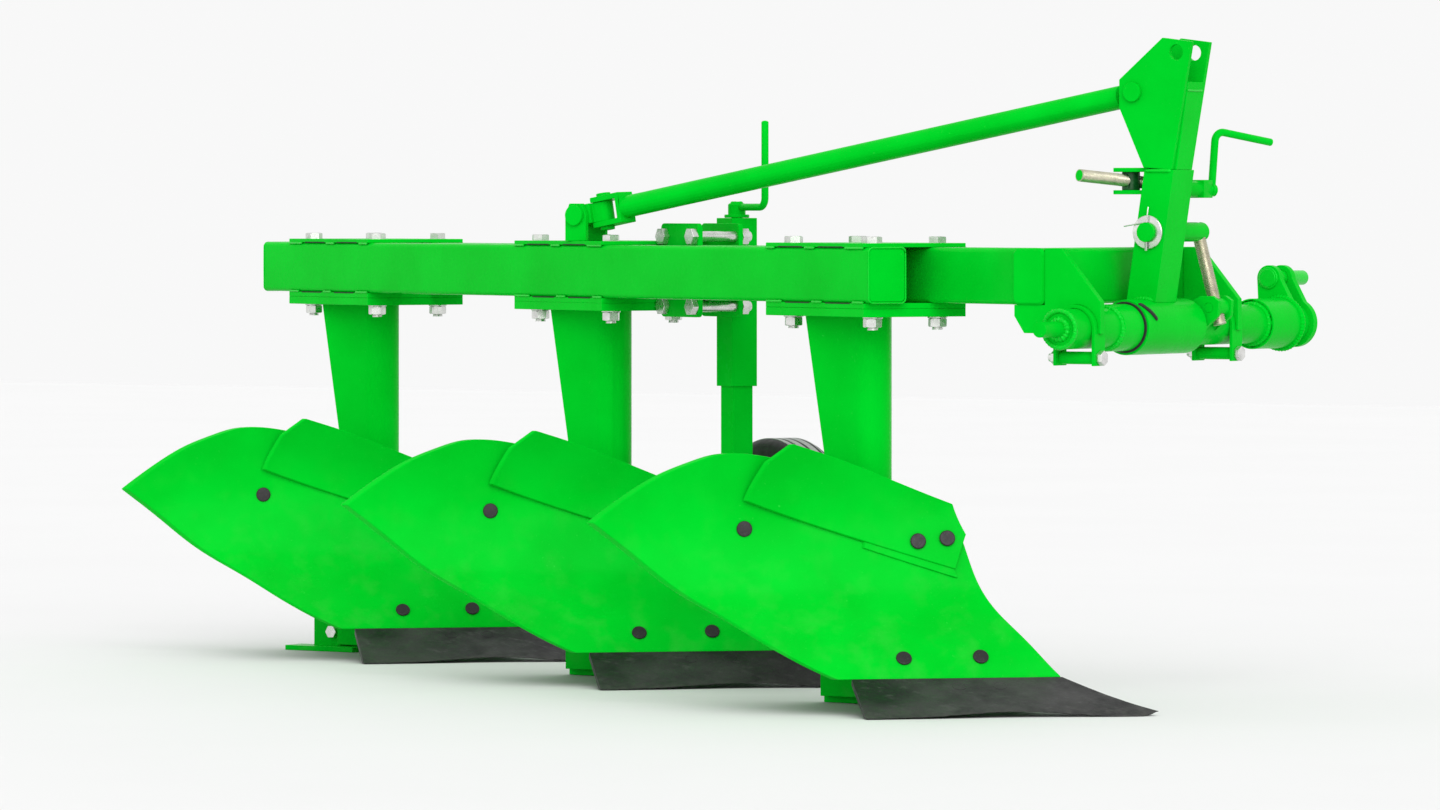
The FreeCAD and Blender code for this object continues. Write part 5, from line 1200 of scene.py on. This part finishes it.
class PLOUGH_OT_mast(bpy.types.Operator):
    """Close the front of the mast's head and lay the beads on head and foot"""
    bl_idname = "plough.mast"
    bl_label = "Mast"

    def execute(self, context):
        size = sizes()
        sides = [size.mast_side + side * size.mast_wide / 2 for side in (-1, 1)]

        def front(z, back=0.0):
            return size.mast_front + (z - size.mast_foot) * size.mast_lean - back

        corners = np.array([(front(z, back), z) for z, back in (
            (size.mast_top, size.fill_thick), (size.mast_top, 0), (size.head_fill, 0),
            (size.head_fill, size.fill_thick))])
        half = size.mast_fork / 2 - 0.0002
        inner = [size.mast_side + side * half for side in (-1, 1)]
        right, left = (at(0, y, 0) for y in inner)
        piece("mast_head_front", Form().bar(prism(right, left, corners, AHEAD, UP)), ease=0.0012)
        beads = Form()
        z = size.head_fill - 0.012
        start, end = (at(front(z), y, z) for y in inner)
        beads.bar(weld(start, end, HEAD_BEAD, AHEAD, 4))
        z = size.mast_top - 0.0016
        for index, y in enumerate(sides):
            start, end = (at(front(z, back), y, z) for back in (size.mast_deep - 0.003, 0.003))
            beads.bar(weld(start, end, CHEEK_BEAD, LEFT * (index * 2 - 1), index))
        radius, foot_turn = size.sleeve_radius + 0.0006, 0.4

        def on_sleeve(turn, y):
            return at(radius * math.sin(turn), y, size.axle_high + radius * math.cos(turn))

        for index, y in enumerate(sides):
            ring = [on_sleeve(turn, y) for turn in np.linspace(-0.93, foot_turn, 30)]
            beads.bar(path_weld(np.array(ring), LEFT, SLEEVE_BEAD, index))
        start, end = (on_sleeve(foot_turn, y) for y in sides)
        beads.bar(weld(start, end, SLEEVE_BEAD, AHEAD, 2))
        piece("mast_beads", beads, "welded")
        return {"FINISHED"}


class PLOUGH_OT_depth_crank(bpy.types.Operator):
    """Build the crank of the depth wheel: threaded screw, hub and bent handle"""
    bl_idname = "plough.depth_crank"
    bl_label = "Depth crank"

    def execute(self, context):
        size = sizes()
        forward, left = beam_axes()
        foot = on_beams(size.clamp_along, size.post_across, 0)
        threaded_rod("depth_screw_rod", foot + UP * size.screw_low, foot + UP * size.hub_low,
                     size.upper_screw, "crank", "wheel_crank")
        hub, high = size.hub_radius, size.hub_high
        collar, brim, neck = 0.005, hub * 1.36, hub * 0.96
        rows = [(0, 0), (0, hub * 1.3), (0.0008, brim), (collar - 0.0008, brim),
                (collar, hub * 1.3), (collar, neck), (high - 0.002, neck), (high, hub * 0.82),
                (high, 0)]
        form = Form().ring(turned(foot + UP * size.hub_low, UP, rows))
        elbow = foot + forward * size.arm_long
        path = bent_path([foot - forward * hub * 0.9 + UP * size.arm_high,
                          elbow + UP * size.arm_high, elbow + UP * size.grip_top],
                         size.crank_bend)
        form.bar(bent_bar(path, size.crank_rod, left))
        form.ring(ring_weld(foot + UP * (size.hub_low + high), UP, hub * 0.5, HUB_BEAD, 3))
        piece("depth_crank_handle", form, body="crank")
        return {"FINISHED"}


class PLOUGH_OT_leg_welds(bpy.types.Operator):
    """Weld the top of each leg to its flange"""
    bl_idname = "plough.leg_welds"
    bl_label = "Leg welds"

    def execute(self, context):
        size = sizes()
        z = size.beam_low - size.under_thick - size.flange_thick - 0.0006
        radius = size.leg_radius
        turns = np.linspace(-math.pi / 2, math.pi / 2, 40)
        nose = np.stack((np.cos(turns), np.sin(turns), turns * 0), axis=-1) * radius
        rear = np.array(((-size.leg_rear, radius, 0), (-size.leg_rear, -radius, 0), nose[0]))
        beads = Form()
        for index in range(BODIES):
            path = np.concatenate((nose, rear)) + leg_middle(index) + UP * z
            beads.bar(path_weld(path, UP, LEG_BEAD, index))
        piece("leg_beads", beads, "welded")
        return {"FINISHED"}


class PLOUGH_OT_axle_welds(bpy.types.Operator):
    """Weld the collar, the disc and the right pin to the axle"""
    bl_idname = "plough.axle_welds"
    bl_label = "Axle welds"

    def execute(self, context):
        size = sizes()
        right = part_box("cross_axle")[0][1] - axle_middle()[1]
        beads = Form()
        for seed, (y, ring_radius, thick) in enumerate((
                (-size.collar_at, size.axle_radius, DISC_BEAD),
                (-size.collar_at + size.collar_long, size.axle_radius, SLEEVE_BEAD),
                (size.disc_at, size.axle_radius, 0.004),
                (right, size.hitch_pin * 1.15, 0.0058))):
            beads.ring(ring_weld(at(0, y, size.axle_high), LEFT, ring_radius, thick, seed))
        beads.ring(ring_weld(at(0, right, size.axle_high), LEFT, size.axle_radius * 0.9,
                             0.0036, 6))
        piece("axle_welds", beads, "welded", "axle")
        return {"FINISHED"}


class PLOUGH_OT_seal(bpy.types.Operator):
    """Lay the seal's loose lip on the sleeve: a cord whose height falls as it runs left"""
    bl_idname = "plough.seal"
    bl_label = "Seal lip"

    def execute(self, context):
        size = sizes()
        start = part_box("sleeve_seal")[1][1] - axle_middle()[1]
        run = np.linspace(0, 1, 16)
        rise = 1.0 - 0.75 * run
        far = size.sleeve_radius + 0.0012
        lip = np.stack((far * np.cos(rise), start + 0.024 * run, far * np.sin(rise)), axis=-1)
        lip = path_weld(at(0, 0, size.axle_high) + lip, unit(np.array((0.8, 0, 0.6))), 0.0026)
        piece("seal_lip", Form().bar(lip), "rubber", body_of_node["sleeve_seal"])
        return {"FINISHED"}


class PLOUGH_OT_carried(bpy.types.Operator):
    """Dress every piece that needs no form of its own in its finish"""
    bl_idname = "plough.carried"
    bl_label = "Carried pieces"

    def execute(self, context):
        taken = {n for thing in bpy.data.objects for n in thing.get("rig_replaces", ())}
        for node in frame["nodes"]:
            if node not in taken:
                eased_copy(node, *FINISH_OF_NODE.get(node, ("frame", "green_paint")))
        return {"FINISHED"}


# Studio
class PLOUGH_OT_stage(bpy.types.Operator):
    """Set up the floor, the soft lights and the camera of the photo"""
    bl_idname = "plough.stage"
    bl_label = "Studio"

    def execute(self, context):
        side = np.linspace(-14, 14, 12)
        x, y = np.meshgrid(side, side, indexing="ij")
        grid = np.stack((x, y, np.zeros_like(x)), axis=-1)
        floor = scene_object("floor", Form().add(grid).mesh("floor", SHARP_ANGLE))
        material, tree, shader = new_finish("studio_floor")
        pale = colours().floor
        clouds = cloud(tree, (0, 0, 0), 1.4, 3, (0.3, 0.7))
        # Painted contact shadow: the floor's colour is darkened where the plough stands close by
        near = shader_node(tree, "AmbientOcclusion", {"Distance": PAINTED_SHADOW_REACH})
        shade = ramp(tree, near.outputs["AO"], (0.3, 0.95))
        even = blend(tree, clouds, pale, [share * 0.985 for share in pale])
        paint = blend(tree, shade, [share * CONTACT_SHADE for share in pale], even)
        feed(tree, shader, {"Base Color": paint, "Roughness": 0.8})
        floor.data.materials.append(material)

        scene = context.scene
        scene.view_settings.view_transform = "Standard"
        scene.world = bpy.data.worlds.new("studio")
        scene.world.use_nodes = True
        tree = scene.world.node_tree
        feed(tree, tree.nodes["Background"], {"Color": [WORLD_LIGHT] * 3, "Strength": 1.0})

        for name, spot, wide, strength in LIGHTS:
            lamp = bpy.data.lights.new(name, "SUN")
            lamp.angle = math.radians(wide)
            lamp.energy = strength
            holder = scene_object(name, lamp)
            holder.location = spot
            aim = LIGHT_AIM - Vector(spot)
            holder.rotation_euler = aim.to_track_quat("-Z", "Y").to_euler()

        lens = bpy.data.cameras.new("photo_camera")
        lens.lens = CAMERA_LENS
        lens.sensor_width = 36
        lens.shift_y = CAMERA_SHIFT
        camera = scene_object("photo_camera", lens)
        camera.location = CAMERA_SPOT
        camera.rotation_euler = Vector(CAMERA_WAY).to_track_quat("-Z", "Y").to_euler()
        scene.camera = camera
        return {"FINISHED"}


# Panel, registration and run
class PLOUGH_PT_panel(bpy.types.Panel):
    """Sidebar panel with the plough's sizes, colours and builders"""
    bl_idname = "PLOUGH_PT_panel"
    bl_label = "Plough"
    bl_space_type = "VIEW_3D"
    bl_region_type = "UI"
    bl_category = "Plough"

    def draw(self, context):
        for group in (context.scene.plough_sizes, context.scene.plough_colours):
            box = self.layout.box()
            for name in group.__annotations__:
                box.prop(group, name)
        for builder in BUILDERS:
            self.layout.operator(builder.bl_idname)


BUILDERS = (
    PLOUGH_OT_boards,
    PLOUGH_OT_shares,
    PLOUGH_OT_beams,
    PLOUGH_OT_leg_bolts,
    PLOUGH_OT_seams,
    PLOUGH_OT_screws,
    PLOUGH_OT_fastenings,
    PLOUGH_OT_wheel,
    PLOUGH_OT_hitch,
    PLOUGH_OT_mast,
    PLOUGH_OT_depth_crank,
    PLOUGH_OT_leg_welds,
    PLOUGH_OT_axle_welds,
    PLOUGH_OT_seal,
    PLOUGH_OT_carried,
    PLOUGH_OT_stage,
)
CLASSES = (PloughSizes, PloughColours) + BUILDERS + (PLOUGH_PT_panel,)


def register():
    """Make the classes and the two groups of settings known to Blender."""
    for kind in CLASSES:
        bpy.utils.register_class(kind)
    bpy.types.Scene.plough_sizes = bpy.props.PointerProperty(type=PloughSizes)
    bpy.types.Scene.plough_colours = bpy.props.PointerProperty(type=PloughColours)


def unregister():
    """Take them away again."""
    del bpy.types.Scene.plough_colours
    del bpy.types.Scene.plough_sizes
    for kind in reversed(CLASSES):
        bpy.utils.unregister_class(kind)


def main():
    """Build every piece and the stage."""
    register()
    make_finishes()
    for builder in BUILDERS:
        group, name = builder.bl_idname.split(".")
        getattr(getattr(bpy.ops, group), name)()


if __name__ == "__main__":
    main()
